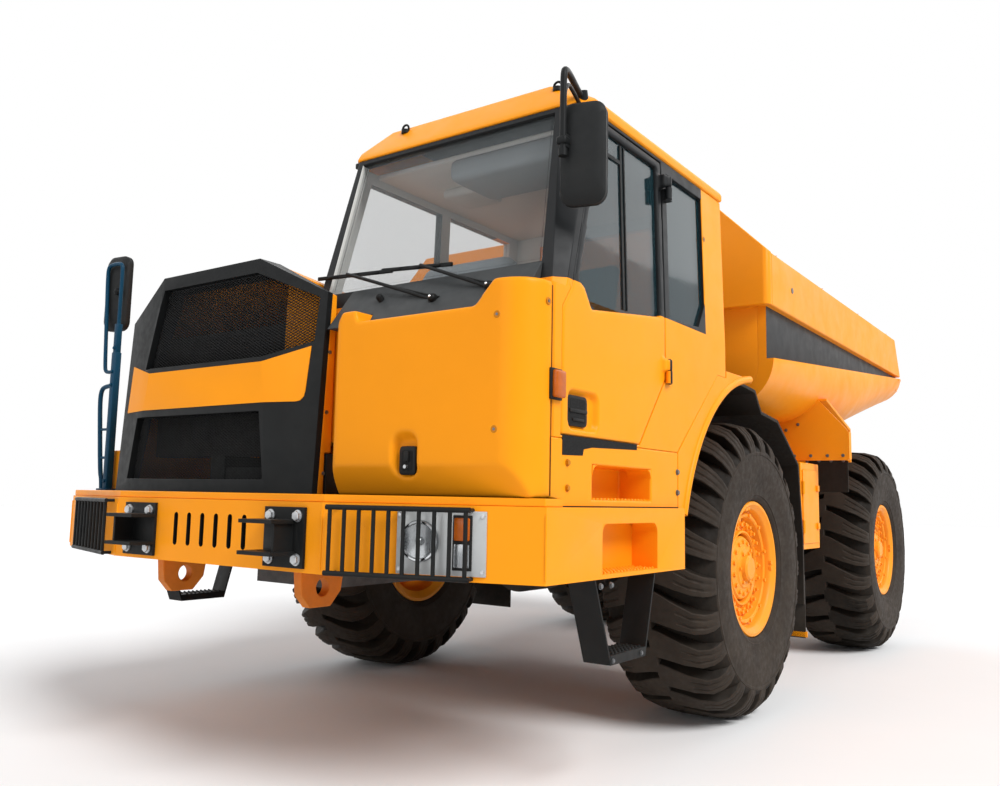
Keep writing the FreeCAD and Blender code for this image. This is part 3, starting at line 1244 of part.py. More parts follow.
def wheel_guards():
    """Plates under the body in front of the rear wheels, each with a rubber flap."""
    t = GUARD_PLATE
    # (distance behind the front axle, height)
    face = [(1500, 2010), (2150, 1835), (2150, 1585)]
    back = [(1500, 2010 + t), (2150 + t, 1835 + t), (2150 + t, 1585)]
    outline = [(fy(d), z) for d, z in face + back[::-1]]
    guard = prism_x(outline, GUARD_INNER_X, HALF_WIDTH)
    hanger = box(GUARD_INNER_X, GUARD_INNER_X + t, fy(1700), fy(2150), 1800, 1990)
    guard = fuse([guard, hanger])
    guard = guard.cut(side_solid()).cut(body_floor()).cut(body_hold())
    y = fy(2150)
    flap = box(GUARD_INNER_X + 120, HALF_WIDTH - 20, y - FLAP_THICKNESS, y, 1350, 1620)
    return both_sides(fuse([guard, flap]))


def body_hold():
    """The body's load space, from wall to wall."""
    (y0, z0, _), (y1, z1, _), (y2, z2, _) = BODY_SECTIONS
    outline = [(y0, z0), (y1, z1), (y2, z2), (y2, BODY_RAIL_TOP), (y0, BODY_RAIL_TOP)]
    return prism_x(outline, -INNER_X, INNER_X)


# ---------------------------------------------------------------- hoist
HOIST_RUN = V(0, HOIST_EYE_Y - HOIST_FOOT_Y, HOIST_EYE_Z - HOIST_FOOT_Z)
BARREL_END = 190.0           # from the barrel's mouth to the rod's eye, closed
ROD_FOOT = 130.0             # from the barrel's foot to the rod's lower end, closed


def hoist_direction():
    direction = V(HOIST_RUN)
    direction.normalize()
    return direction


def hoist_barrels():
    d = hoist_direction()
    parts = []
    for side in (-1, 1):
        foot = V(side * HOIST_X, HOIST_FOOT_Y, HOIST_FOOT_Z)
        barrel = cylinder(BARREL_RADIUS, foot + d * 70, foot + d * (HOIST_RUN.Length - BARREL_END))
        eye = cylinder_x(HOIST_EYE_RADIUS, foot.x - HOIST_EYE_WIDTH / 2,
                         foot.x + HOIST_EYE_WIDTH / 2, foot.y, foot.z)
        neck = cylinder(42, foot, foot + d * 90)
        whole = fuse([barrel, eye, neck])
        bore = cylinder(ROD_RADIUS + RUNNING_GAP, foot + d * (ROD_FOOT - 10),
                        foot + d * HOIST_RUN.Length)
        pin = cylinder_x(HOIST_PIN_RADIUS + RUNNING_GAP, foot.x - 100, foot.x + 100, foot.y, foot.z)
        parts.append(whole.cut(bore).cut(pin))
    return parts


def hoist_rods():
    d = hoist_direction()
    parts = []
    for side in (-1, 1):
        foot = V(side * HOIST_X, HOIST_FOOT_Y, HOIST_FOOT_Z)
        top = foot + HOIST_RUN
        rod = cylinder(ROD_RADIUS, foot + d * ROD_FOOT, top - d * 40)
        eye = cylinder_x(HOIST_EYE_RADIUS, top.x - HOIST_EYE_WIDTH / 2,
                         top.x + HOIST_EYE_WIDTH / 2, top.y, top.z)
        hole = cylinder_x(HOIST_PIN_RADIUS, top.x - 100, top.x + 100, top.y, top.z)
        parts.append(fuse([rod, eye]).cut(hole))
    return parts


# ---------------------------------------------------------------- write the parts
def build():
    os.makedirs("parts", exist_ok=True)
    makers = [chassis_frame, front_axle, rear_axle, leaf_springs, engine_block, drive_line,
              front_bumper, front_deck, push_brackets, lamp_guards, headlamps, tow_hooks,
              hanging_steps, side_skirts, fenders, front_mudguards, tool_boxes, hood, grille,
              grille_mesh, radiator, cab_shell, cab_glass, cab_roof, cab_fairing, cab_cowl, dashboard,
              seat_base, driver_seat, steering_wheel, mirrors, mirror_posts, cab_door,
              door_glass, body_sides, body_rails, body_floor, body_front_wall, body_bearers,
              wheel_guards, hoist_barrels, hoist_rods]
    for maker in makers:
        save(maker.__name__, maker())
    for side, side_name in ((1, "left"), (-1, "right")):
        save("knuckle_" + side_name, knuckle(side))
        for end_name, y in (("front", fy(0)), ("rear", ry(0))):
            save(f"tyre_{end_name}_{side_name}", tyre(side, y))
            save(f"rim_{end_name}_{side_name}", rim(side, y))


build()
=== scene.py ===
"""Looks of a two-axle rigid dump truck, built around its packed frame, in metres.

+X is the truck's left, the front faces -Y and +Z is up.
"""
import json
import math

import bmesh
import bpy
from bpy.props import FloatProperty, FloatVectorProperty, IntProperty, PointerProperty
from bpy.types import Operator, Panel, PropertyGroup
from mathutils import Matrix, Vector
from mathutils.bvhtree import BVHTree


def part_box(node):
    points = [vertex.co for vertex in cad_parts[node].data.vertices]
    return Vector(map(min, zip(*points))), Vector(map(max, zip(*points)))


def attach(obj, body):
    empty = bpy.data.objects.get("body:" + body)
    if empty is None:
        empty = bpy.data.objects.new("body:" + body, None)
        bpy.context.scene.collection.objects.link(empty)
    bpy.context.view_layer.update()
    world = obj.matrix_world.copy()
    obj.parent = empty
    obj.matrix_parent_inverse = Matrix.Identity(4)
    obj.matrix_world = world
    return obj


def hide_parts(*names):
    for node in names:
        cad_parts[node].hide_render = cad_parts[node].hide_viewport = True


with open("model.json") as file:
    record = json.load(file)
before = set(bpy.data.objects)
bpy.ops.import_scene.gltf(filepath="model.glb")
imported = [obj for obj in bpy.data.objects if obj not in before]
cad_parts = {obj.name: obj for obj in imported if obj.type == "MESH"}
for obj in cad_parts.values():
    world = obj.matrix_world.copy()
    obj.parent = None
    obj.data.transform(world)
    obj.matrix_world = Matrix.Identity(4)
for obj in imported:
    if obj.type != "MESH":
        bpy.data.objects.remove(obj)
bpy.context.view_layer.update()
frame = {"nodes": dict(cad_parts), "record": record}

bl_info = {
    "name": "Dump truck",
    "version": (1, 0, 0),
    "blender": (4, 5, 0),
    "location": "View3D > Sidebar > Dump truck",
    "description": "Builds the tyres, panels, cab, dump body and fittings of a dump truck",
    "category": "Object",
}

X, Y, Z = Vector((1, 0, 0)), Vector((0, 1, 0)), Vector((0, 0, 1))
WELD = 1e-5                  # vertices nearer than this are one
SHARP = math.radians(28)     # edges sharper than this are rounded
SIDES = (("left", 1), ("right", -1))
ENDS = ("front", "rear")


# ---------------------------------------------------------------- sizes a user may change
def paint_property(name, colour, description):
    return FloatVectorProperty(name=name, description=description, subtype="COLOR",
                               size=3, min=0.0, max=1.0, default=colour)


def length_property(name, description, default, low, high):
    return FloatProperty(name=name, description=description, default=default, min=low,
                         max=high, unit="LENGTH")


class TruckPaint(PropertyGroup):
    """Colours of the truck's finishes."""
    body: paint_property("Body paint", (0.93, 0.315, 0.006), "Cab, hood, bumper and dump body")
    rim: paint_property("Rim paint", (0.90, 0.31, 0.012), "Wheel rims and hubs")
    casting: paint_property("Casting paint", (0.60, 0.165, 0.008), "Towing hooks and brackets")
    black: paint_property("Black paint", (0.008, 0.0088, 0.0092), "Grille frame and brackets")
    rail: paint_property("Rail paint", (0.002, 0.040, 0.082), "Mirror post and handrail")
    panel: paint_property("Panel paint", (0.024, 0.025, 0.0265), "Recessed panels of the body")
    rubber: paint_property("Rubber", (0.027, 0.0205, 0.016), "Tyres and flaps")


class TruckTyres(PropertyGroup):
    """Sizes of the tyres' tread."""
    lugs: IntProperty(name="Lugs", description="Lugs on each shoulder of a tyre",
                      default=25, min=12, max=40)
    depth: length_property("Tread depth", "Height of a lug over the carcass", 0.058, 0.01, 0.06)
    steps: IntProperty(name="Steps", description="Steps of a turned shape around the wheel",
                       default=96, min=32, max=192)


class TruckPanels(PropertyGroup):
    """Sizes of the sheet metal's details."""
    fold: length_property("Fold radius", "Rounding of a folded panel's edges",
                          0.012, 0.002, 0.04)
    skin: length_property("Moulding's cell", "Cell of the moulded covers' skin",
                          0.008, 0.004, 0.02)
    bolt: length_property("Bolt size", "Half width of a bracket's bolt head",
                          0.019, 0.005, 0.04)
    mesh_cell: length_property("Mesh cell", "Width of a cell of the grille's mesh",
                               0.026, 0.015, 0.06)


class TruckStage(PropertyGroup):
    """Light and floor."""
    sky: FloatProperty(name="Sky light", description="Strength of the even light all around",
                       default=0.30, min=0.0, max=3.0)
    key: FloatProperty(name="Key light", description="Strength of the soft key light",
                       default=1.0, min=0.0, max=10.0)
    floor: paint_property("Floor", (0.86, 0.86, 0.86), "Colour of the floor")


GROUPS = (("truck_paint", TruckPaint), ("truck_tyres", TruckTyres),
          ("truck_panels", TruckPanels), ("truck_stage", TruckStage))


def settings(group):
    return getattr(bpy.context.scene, group)


# ---------------------------------------------------------------- materials
def add_node(tree, kind, inputs=(), **fields):
    """A shader node; inputs give a socket a value or the socket that feeds it."""
    made = tree.nodes.new(kind)
    for field, value in fields.items():
        setattr(made, field, value)
    for socket, value in dict(inputs).items():
        if isinstance(value, bpy.types.NodeSocket):
            tree.links.new(value, made.inputs[socket])
        else:
            made.inputs[socket].default_value = value
    return made


def shade_of(colour, factor):
    """A colour made lighter or darker."""
    return tuple(min(1.0, c * factor) for c in colour[:3]) + (1.0,)


def noise(tree, coords, scale, detail=3.0, roughness=0.5):
    return add_node(tree, "ShaderNodeTexNoise", {"Vector": coords, "Scale": scale,
                    "Detail": detail, "Roughness": roughness}).outputs["Fac"]


def spread(tree, value, low, high, to_low, to_high):
    """Map a value's range to another and hold it there."""
    return add_node(tree, "ShaderNodeMapRange", {"Value": value, "From Min": low,
                    "From Max": high, "To Min": to_low, "To Max": to_high}).outputs["Result"]


def mixed(tree, share, first, second):
    """A mix of two colours, each a value or the socket that gives it."""
    made = add_node(tree, "ShaderNodeMix", {"Factor": share}, data_type="RGBA")
    for socket, value in ((made.inputs[6], first), (made.inputs[7], second)):
        if isinstance(value, bpy.types.NodeSocket):
            tree.links.new(value, socket)
        else:
            socket.default_value = value
    return made.outputs[2]


def times(tree, first, second):
    return add_node(tree, "ShaderNodeMath", {0: first, 1: second}, operation="MULTIPLY").outputs[0]


def blank(name):
    """A new material with its node tree, its shader and the place of what is shaded."""
    material = bpy.data.materials.new(name)
    material.use_nodes = True
    tree = material.node_tree
    return (material, tree, tree.nodes["Principled BSDF"],
            add_node(tree, "ShaderNodeTexCoord").outputs["Object"])


DUST = (0.30, 0.235, 0.165, 1.0)
DUST_HIGH = 0.12             # dust left at dust_top, as a share of the dust on the ground
COAT_ROUGHNESS, BUMP_STRENGTH, SPECKLE_SHADE = 0.12, 0.6, 0.45


def finish(name, colour, vary, cloud, rough, grain, relief, metal=0.0, coat=0.0, dust=0.0,
           dust_top=1.2, speckle=0.0, specular=0.2, stretch=(1.0, 1.0, 1.0), alpha=1.0):
    """A material with clouding, grain, relief and dust that settles below dust_top.

    vary and cloud are the clouding's depth and scale, rough the range of roughness, and
    grain and relief the scale and height of the bump, which stretch draws out.
    """
    material, tree, shader, spot = blank(name)
    drawn = add_node(tree, "ShaderNodeMapping", {"Vector": spot, "Scale": stretch}).outputs[0]
    clouds = spread(tree, noise(tree, spot, cloud, 4.0, 0.6), 0.3, 0.7, 0.0, 1.0)
    fine = noise(tree, drawn, grain, 2.0)
    paint = mixed(tree, clouds, shade_of(colour, 1 - vary), shade_of(colour, 1 + vary))
    if speckle:
        dots = spread(tree, noise(tree, spot, grain * 0.45, 1.0), 0.60, 0.72, 0.0, speckle)
        paint = mixed(tree, dots, paint, shade_of(colour, SPECKLE_SHADE))
    if dust:
        height = add_node(tree, "ShaderNodeSeparateXYZ", {0: spot}).outputs["Z"]
        low = spread(tree, height, 0.0, dust_top, dust, dust * DUST_HIGH)
        streaks = spread(tree, noise(tree, spot, 7.0, 6.0, 0.65), 0.35, 0.75, 0.15, 1.0)
        paint = mixed(tree, times(tree, low, streaks), paint, DUST)
    tree.links.new(paint, shader.inputs["Base Color"])
    tree.links.new(spread(tree, noise(tree, spot, cloud * 6, 3.0), 0.3, 0.7, *rough),
                   shader.inputs["Roughness"])
    bump = add_node(tree, "ShaderNodeBump", {"Height": fine, "Distance": relief,
                                             "Strength": BUMP_STRENGTH})
    tree.links.new(bump.outputs[0], shader.inputs["Normal"])
    for socket, value in (("Metallic", metal), ("Coat Weight", coat),
                          ("Coat Roughness", COAT_ROUGHNESS), ("Specular IOR Level", specular),
                          ("Alpha", alpha)):
        shader.inputs[socket].default_value = value
    return material


def tyre_rubber(name, colour):
    """Mottled rubber with a little dust."""
    return finish(name, colour, 0.22, 5.0, (0.55, 0.80), 190.0, 0.0012, dust=0.07,
                  dust_top=1.9, speckle=0.25, specular=0.12)


def pane(name, colour, alpha, tint):
    """Window glass: a tinted see-through skin with a faint veil of dust."""
    material, tree, shader, spot = blank(name)
    veil = spread(tree, noise(tree, spot, 1.6, 3.0, 0.6), 0.3, 0.7, 0.0, 1.0)
    tree.links.new(mixed(tree, veil, shade_of(colour, 1.0), shade_of(tint, 1.0)),
                   shader.inputs["Base Color"])
    tree.links.new(spread(tree, noise(tree, spot, 9.0), 0.3, 0.7, 0.02, 0.07),
                   shader.inputs["Roughness"])
    shader.inputs["Alpha"].default_value = alpha
    shader.inputs["Specular IOR Level"].default_value = 0.6
    return material


def lens(name, colour, alpha, rib):
    """Moulded lamp lens with fine ribs."""
    return finish(name, colour, 0.10, 30.0, (0.06, 0.14), rib, 0.0010, coat=0.15,
                  alpha=alpha, stretch=(1.0, 1.0, 0.12))


def make_finishes():
    """Every finish of the truck, by the name its pieces use."""
    p = settings("truck_paint")
    return {
        "paint": finish("body_paint", p.body, 0.035, 1.3, (0.32, 0.44), 420.0, 0.00012, dust=0.03,
                        dust_top=1.6, specular=0.12),
        "box_paint": finish("dump_body_paint", p.body, 0.05, 1.1, (0.36, 0.52), 300.0, 0.0002,
                            specular=0.2, dust=0.14, dust_top=2.4, speckle=0.05),
        "bed": finish("worn_bed_paint", shade_of(p.body, 0.62), 0.3, 3.0, (0.45, 0.75), 90.0,
                      0.0015, dust=0.75, dust_top=6.0, speckle=0.35),
        "rim": finish("rim_paint", p.rim, 0.07, 5.0, (0.34, 0.48), 380.0, 0.0002, dust=0.14,
                      dust_top=1.4, specular=0.2),
        "casting": finish("casting_paint", p.casting, 0.12, 9.0, (0.42, 0.62), 170.0, 0.0008,
                          dust=0.25),
        "black": finish("black_paint", p.black, 0.18, 4.0, (0.38, 0.52), 330.0, 0.0002, dust=0.03,
                        dust_top=2.2, specular=0.12),
        "grained": finish("grained_black_plastic", shade_of(p.black, 1.3), 0.15, 5.0, (0.48, 0.62),
                          520.0, 0.0005, dust=0.04, dust_top=3.0, specular=0.15),
        "cowl": finish("grained_grey_plastic", shade_of(p.black, 4.6), 0.10, 3.0, (0.50, 0.64),
                       520.0, 0.0005, dust=0.04, dust_top=3.0),
        "rail": finish("rail_paint", p.rail, 0.15, 6.0, (0.32, 0.46), 300.0, 0.0002,
                       specular=0.12),
        "panel": finish("panel_paint", p.panel, 0.12, 1.6, (0.40, 0.55), 360.0, 0.0002, dust=0.06,
                        dust_top=4.0),
        "tyre": tyre_rubber("tyre_rubber", p.rubber),
        # darker copy of the rubber: painted shade in the tread's grooves
        "groove": tyre_rubber("tyre_groove_painted_shade", shade_of(p.rubber, 0.30)),
        "rubber": finish("sheet_rubber", shade_of(p.rubber, 0.6), 0.2, 6.0, (0.55, 0.75), 230.0,
                         0.0006, dust=0.10),
        "frame": finish("frame_paint", (0.020, 0.021, 0.022), 0.25, 3.0, (0.45, 0.65), 200.0,
                        0.0006, dust=0.28, dust_top=1.6, speckle=0.1),
        "engine": finish("engine_paint", (0.060, 0.062, 0.064), 0.3, 7.0, (0.45, 0.7), 120.0,
                         0.0012, dust=0.25),
        "steel": finish("zinc_plated_steel", (0.52, 0.53, 0.54), 0.12, 24.0, (0.30, 0.48), 420.0,
                        0.0002, metal=1.0),
        "dark_steel": finish("darkened_steel", (0.16, 0.165, 0.17), 0.2, 18.0, (0.36, 0.55), 300.0,
                             0.0003, metal=0.8),
        "chrome": finish("chrome", (0.80, 0.81, 0.82), 0.04, 14.0, (0.04, 0.10), 300.0, 0.00005,
                         metal=1.0),
        "alloy": finish("brushed_plate", (0.44, 0.45, 0.45), 0.06, 11.0, (0.34, 0.46), 500.0,
                        0.0002, metal=0.35, stretch=(0.06, 0.06, 1.0)),
        "mesh": finish("mesh_wire", (0.016, 0.017, 0.018), 0.2, 8.0, (0.42, 0.6), 400.0, 0.0002,
                       dust=0.05, dust_top=3.0),
        "fins": finish("radiator_fins", (0.012, 0.011, 0.011), 0.4, 3.0, (0.5, 0.8), 210.0, 0.003,
                       dust=0.10, dust_top=3.0, stretch=(0.02, 1.0, 1.0)),
        "trim": finish("cab_trim", (0.28, 0.31, 0.33), 0.07, 5.0, (0.55, 0.72), 480.0, 0.0005),
        "lining": finish("cab_lining", (0.62, 0.62, 0.59), 0.05, 4.0, (0.7, 0.9), 620.0, 0.0006),
        "floor_mat": finish("floor_mat", (0.045, 0.047, 0.05), 0.2, 7.0, (0.6, 0.85), 260.0,
                            0.001),
        "windshield": pane("windshield_glass", (0.20, 0.23, 0.24), 0.16, (0.26, 0.28, 0.28)),
        "side_glass": pane("tinted_side_glass", (0.006, 0.024, 0.032), 0.70,
                           (0.010, 0.034, 0.042)),
        "mirror": finish("mirror_glass", (0.86, 0.88, 0.90), 0.02, 4.0, (0.01, 0.03), 60.0,
                         0.00002, metal=1.0),
        "gloss": finish("pillar_black_paint", (0.012, 0.013, 0.014), 0.2, 3.0, (0.38, 0.50), 400.0,
                        0.0001, specular=0.16),
        # darker copy of the body paint: painted shade on the faces inside the hood
        "inner_shade": finish("inner_face_painted_shade", shade_of(p.body, 0.80), 0.2, 3.0, (0.5, 0.7), 200.0,
                         0.0003, specular=0.1),
        # near black: dark joints and seams, and painted shade in slots, handle and latch cells and
        # under the door
        "void": finish("black_joints_and_painted_recess_shade", (0.004, 0.004, 0.004), 0.3, 20.0, (0.6, 0.8), 300.0,
                       0.0003),
        "shade_paint": finish("shaded_body_paint", shade_of(p.body, 0.55), 0.08, 9.0, (0.36, 0.5),
                              300.0, 0.0002),
        "seat_cloth": finish("seat_cloth", (0.035, 0.040, 0.048), 0.18, 9.0, (0.85, 0.97), 900.0,
                             0.0012, speckle=0.35, specular=0.2),
        "clear_glass": pane("clear_side_glass", (0.30, 0.36, 0.37), 0.16, (0.40, 0.43, 0.42)),
        "amber": lens("amber_lens", (0.50, 0.105, 0.004), 0.95, 900.0),
        "clear": lens("clear_lens", (0.42, 0.45, 0.47), 0.22, 700.0),
        "reflector": finish("lamp_reflector", (0.34, 0.35, 0.36), 0.1, 18.0, (0.16, 0.26), 300.0,
                            0.0001, metal=1.0),
    }


FINISH = {}
# what each packed node that stays in sight is finished with
NODE_FINISHES = {
    "chassis_frame": "frame", "front_axle": "frame", "rear_axle": "frame",
    "engine_block": "engine", "drive_line": "engine", "knuckle_left": "frame",
    "knuckle_right": "frame", "radiator": "fins", "seat_base": "floor_mat",
    "hoist_barrels": "frame", "hoist_rods": "chrome",
}


# ---------------------------------------------------------------- shaping helpers
def mesh_from(bm, name):
    """The mesh that a finished bmesh makes."""
    mesh = bpy.data.meshes.new(name)
    bm.to_mesh(mesh)
    bm.free()
    return mesh


def in_scene(name, data):
    """A new object in the scene."""
    made = bpy.data.objects.new(name, data)
    bpy.context.scene.collection.objects.link(made)
    return made


def split(bm, planes, drop=False):
    """Cut a mesh along (point, normal) planes; drop removes what lies beyond them."""
    for point, normal in planes:
        bmesh.ops.bisect_plane(bm, geom=bm.verts[:] + bm.edges[:] + bm.faces[:], dist=1e-6,
                               plane_co=point, plane_no=normal, clear_outer=drop)


def new_verts(made):
    """The vertices that an extrusion made."""
    return [g for g in made["geom"] if isinstance(g, bmesh.types.BMVert)]


def pick_finishes(bm, tone):
    """Give each face the finish that tone picks for its middle and normal."""
    for face in bm.faces:
        face.material_index = tone(face.calc_center_median(), face.normal)


def turn_to(direction):
    """Rotation that takes +Z to a direction."""
    return Vector(direction).to_track_quat("Z", "Y").to_matrix().to_4x4()


def add_to(bm, part, index=0):
    """Join a shape to a piece, facing outwards and with its finish."""
    bmesh.ops.recalc_face_normals(part, faces=part.faces)
    for face in part.faces:
        face.material_index = index
    mesh = mesh_from(part, "part")
    bm.from_mesh(mesh)
    bpy.data.meshes.remove(mesh)


def round_edges(bm, lines, width, segments=2, clamp=True):
    bmesh.ops.bevel(bm, geom=list(lines), offset=width, segments=segments, profile=0.5,
                    affect="EDGES", material=-1, clamp_overlap=clamp)


def rod(bm, start, end, radius, sides=16, taper=1.0, index=0):
    """Straight round bar, or a cone frustum, from one point to another."""
    start, end = Vector(start), Vector(end)
    part = bmesh.new()
    place = Matrix.Translation((start + end) / 2) @ turn_to(end - start)
    bmesh.ops.create_cone(part, cap_ends=True, segments=sides, radius1=radius,
                          radius2=radius * taper, depth=(end - start).length, matrix=place)
    add_to(bm, part, index)


def ball(bm, centre, radius, index=0, sides=12):
    part = bmesh.new()
    bmesh.ops.create_uvsphere(part, u_segments=sides, v_segments=sides // 2, radius=radius,
                              matrix=Matrix.Translation(centre))
    add_to(bm, part, index)


def block(bm, low, high, edge=0.0, segments=2, index=0, place=None, shape=None):
    """Box between two corners with rounded edges; shape moves its corners, place all of it."""
    low, high = Vector(low), Vector(high)
    part = bmesh.new()
    size = high - low
    bmesh.ops.create_cube(part, size=1.0, matrix=Matrix.Translation((low + high) / 2)
                          @ Matrix.Diagonal((*size, 1)))
    if shape:
        for vert in part.verts:
            vert.co = shape(vert.co)
    if edge:
        round_edges(part, part.edges, min(edge, min(size) * 0.49), segments)
    if place is not None:
        bmesh.ops.transform(part, matrix=place, verts=part.verts)
    add_to(bm, part, index)


def lathe(bm, profile, centre, axis, steps, closed=False, index=0):
    """Turn (radius, along) points about an axis; a closed outline joins its ends."""
    axis = Vector(axis).normalized()
    across = axis.orthogonal().normalized()
    centre = Vector(centre)
    part = bmesh.new()
    verts = [part.verts.new(centre + across * r + axis * a) for r, a in profile]
    lines = [part.edges.new(pair) for pair in zip(verts, verts[1:])]
    if closed:
        lines.append(part.edges.new((verts[-1], verts[0])))
    bmesh.ops.spin(part, geom=verts + lines, cent=centre, axis=axis, angle=math.tau,
                   steps=steps, use_merge=True)
    bmesh.ops.remove_doubles(part, verts=part.verts, dist=WELD)
    add_to(bm, part, index)


def side_block(bm, side, near, far, low, high, *finish_of):
    """Block on one side of the truck, between two distances from its middle plane."""
    left, right = sorted((side * near, side * far))
    block(bm, (left, *low), (right, *high), *finish_of)


def plate(bm, outline, thickness, index=0, edge=0.0):
    """Flat plate: a face on these points, extruded by a vector."""
    part = bmesh.new()
    face = part.faces.new([part.verts.new(p) for p in outline])
    top = bmesh.ops.extrude_face_region(part, geom=[face])
    bmesh.ops.translate(part, vec=Vector(thickness), verts=new_verts(top))
    if edge:
        round_edges(part, part.edges, edge, 1)
    add_to(bm, part, index)


def swell(bm, outline, steps, index=0):
    """A face pushed on in steps, each a move and a scale about its middle: domes and tapers."""
    part = bmesh.new()
    face = part.faces.new([part.verts.new(p) for p in outline])
    for count, (move, scale) in enumerate(steps):
        made = bmesh.ops.extrude_face_region(part, geom=[face])["geom"]
        if count:
            bmesh.ops.delete(part, geom=[face], context="FACES_ONLY")
        face = next(g for g in made if isinstance(g, bmesh.types.BMFace))
        middle = face.calc_center_median()
        for vert in face.verts:
            vert.co = middle + (vert.co - middle) * scale + Vector(move)
    add_to(bm, part, index)


def rounded(width, height, corner, steps=4):
    """Outline of a rectangle with round corners, as (across, up) pairs about its middle."""
    points = []
    for k, (sx, sy) in enumerate(((1, 1), (-1, 1), (-1, -1), (1, -1))):
        for n in range(steps + 1):
            turn = math.radians(90 * (k + n / steps))
            points.append((sx * (width / 2 - corner) + math.cos(turn) * corner,
                           sy * (height / 2 - corner) + math.sin(turn) * corner))
    return points


def tube(bm, points, radius, index=0):
    """Round tube on one smooth line that the points lead."""
    line = bpy.data.curves.new("line", "CURVE")
    line.dimensions = "3D"
    spline = line.splines.new("NURBS")
    spline.points.add(len(points) - 1)
    for point, place in zip(spline.points, points):
        point.co = (*place, 1.0)
    spline.order_u = 3
    spline.use_endpoint_u = True
    spline.resolution_u = 8
    line.bevel_depth = radius
    line.bevel_resolution = 3
    line.use_fill_caps = True
    holder = bpy.data.objects.new("line", line)
    mesh = bpy.data.meshes.new_from_object(holder)
    part = bmesh.new()
    part.from_mesh(mesh)
    bmesh.ops.remove_doubles(part, verts=part.verts, dist=WELD)
    bpy.data.objects.remove(holder)
    bpy.data.curves.remove(line)
    bpy.data.meshes.remove(mesh)
    add_to(bm, part, index)


def bolt(bm, place, axis, size, index=0):
    """Hexagon head on a washer, standing on a surface."""
    place, axis = Vector(place), Vector(axis).normalized()
    top = place + axis * size * 0.85
    rod(bm, place - axis * 0.002, place + axis * size * 0.22, size * 1.35, 14, 1.0, index)
    rod(bm, place, top, size * 1.1, 6, 1.0, index)
    rod(bm, top, place + axis * size * 1.0, size * 1.08, 6, 0.86, index)


def piece(name, bm, body, materials, smooth, bevel=0.0, segments=2):
    """A finished piece: shaded, painted and riding on its body.

    smooth is the angle in degrees from which an edge stays sharp.
    """
    mesh = mesh_from(bm, name)
    for key in [materials] if isinstance(materials, str) else materials:
        mesh.materials.append(FINISH[key])
    mesh.shade_smooth()
    mesh.set_sharp_from_angle(angle=math.radians(smooth))
    made = in_scene(name, mesh)
    if bevel:
        edge = made.modifiers.new("Edges", "BEVEL")
        edge.width, edge.segments = bevel, segments
        edge.limit_method, edge.angle_limit = "ANGLE", SHARP
        edge.harden_normals = True
        edge.miter_outer = "MITER_ARC"
    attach(made, body)
    return made


def body_with(node):
    """The body that a node rides on."""
    return next(b for b, names in frame["record"]["behaviour"]["bodies"].items() if node in names)


def welded(node):
    """A node's shape as a closed mesh."""
    bm = bmesh.new()
    bm.from_mesh(frame["nodes"][node].data)
    bmesh.ops.remove_doubles(bm, verts=bm.verts, dist=WELD)
    return bm


def merged(node):
    """A node's shape as a closed mesh with whole flat faces."""
    bm = welded(node)
    bmesh.ops.dissolve_limit(bm, angle_limit=math.radians(0.25), verts=bm.verts,
                             edges=bm.edges, use_dissolve_boundaries=False)
    return bm


def carve(bm, cutters):
    """The mesh less closed cutter meshes; returns a new mesh to work on."""
    for cutter in cutters:
        bmesh.ops.recalc_face_normals(cutter, faces=cutter.faces)
    holders = []
    for name, source in [("stock", bm)] + [("cutter", c) for c in cutters]:
        bmesh.ops.triangulate(source, faces=source.faces)
        holders.append(in_scene(name, mesh_from(source, name)))
    stock = holders[0]
    for cutter in holders[1:]:
        cut = stock.modifiers.new("cut", "BOOLEAN")
        cut.operation, cut.solver, cut.object = "DIFFERENCE", "EXACT", cutter
    graph = bpy.context.evaluated_depsgraph_get()
    result = bmesh.new()
    result.from_mesh(stock.evaluated_get(graph).to_mesh())
    for holder in holders:
        bpy.data.objects.remove(holder)
    return result


def softened(node, materials, width, segments=2, planes=(), tone=None, long_edges=0.0):
    """A node's shape with rounded edges; tone picks each face's finish once planes cut it.

    long_edges rounds only edges longer than that, at their full width.
    """
    bm = merged(node)
    if long_edges:
        sharp = [e for e in bm.edges if e.is_manifold and e.calc_length() > long_edges
                 and e.calc_face_angle() > SHARP]
        round_edges(bm, sharp, width, segments, clamp=False)
    split(bm, planes)
    if tone:
        pick_finishes(bm, tone)
    made = piece(node + "_panels", bm, body_with(node), materials, 30.0,
                 0.0 if long_edges else width, segments)
    if long_edges:
        made.modifiers.new("Flat faces", "WEIGHTED_NORMAL").keep_sharp = True
    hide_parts(node)
    return made


def moulded(node, materials, cell, passes, cutters=(), planes=(), tone=None, press=None):
    """A node's shape as a soft plastic moulding: an even skin whose edges are smoothed.

    press gives how far a place on the skin is pushed in.
    """
    bm = carve(welded(node), cutters) if cutters else welded(node)
    mesh = mesh_from(bm, node)
    holder = in_scene(node + "_skin", mesh)
    skin = holder.modifiers.new("Even", "REMESH")
    skin.mode, skin.voxel_size = "VOXEL", cell
    bm = bmesh.new()
    bm.from_object(holder, bpy.context.evaluated_depsgraph_get())
    bpy.data.objects.remove(holder)
    bpy.data.meshes.remove(mesh)
    for _ in range(passes):
        bmesh.ops.smooth_vert(bm, verts=bm.verts, factor=0.5, use_axis_x=True,
                              use_axis_y=True, use_axis_z=True)
    if press:
        for vert in bm.verts:
            vert.co += press(vert.co)
    split(bm, planes)
    bm.normal_update()
    if tone:
        pick_finishes(bm, tone)
    made = piece(node + "_moulding", bm, body_with(node), materials, 80)
    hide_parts(node)
    return made


def surface_of(*nodes):
    """Something that rays can be cast at, from nodes' packed shapes."""
    bm = bmesh.new()
    for node in nodes:
        bm.from_mesh(frame["nodes"][node].data)
    tree = BVHTree.FromBMesh(bm)
    bm.free()
    return tree


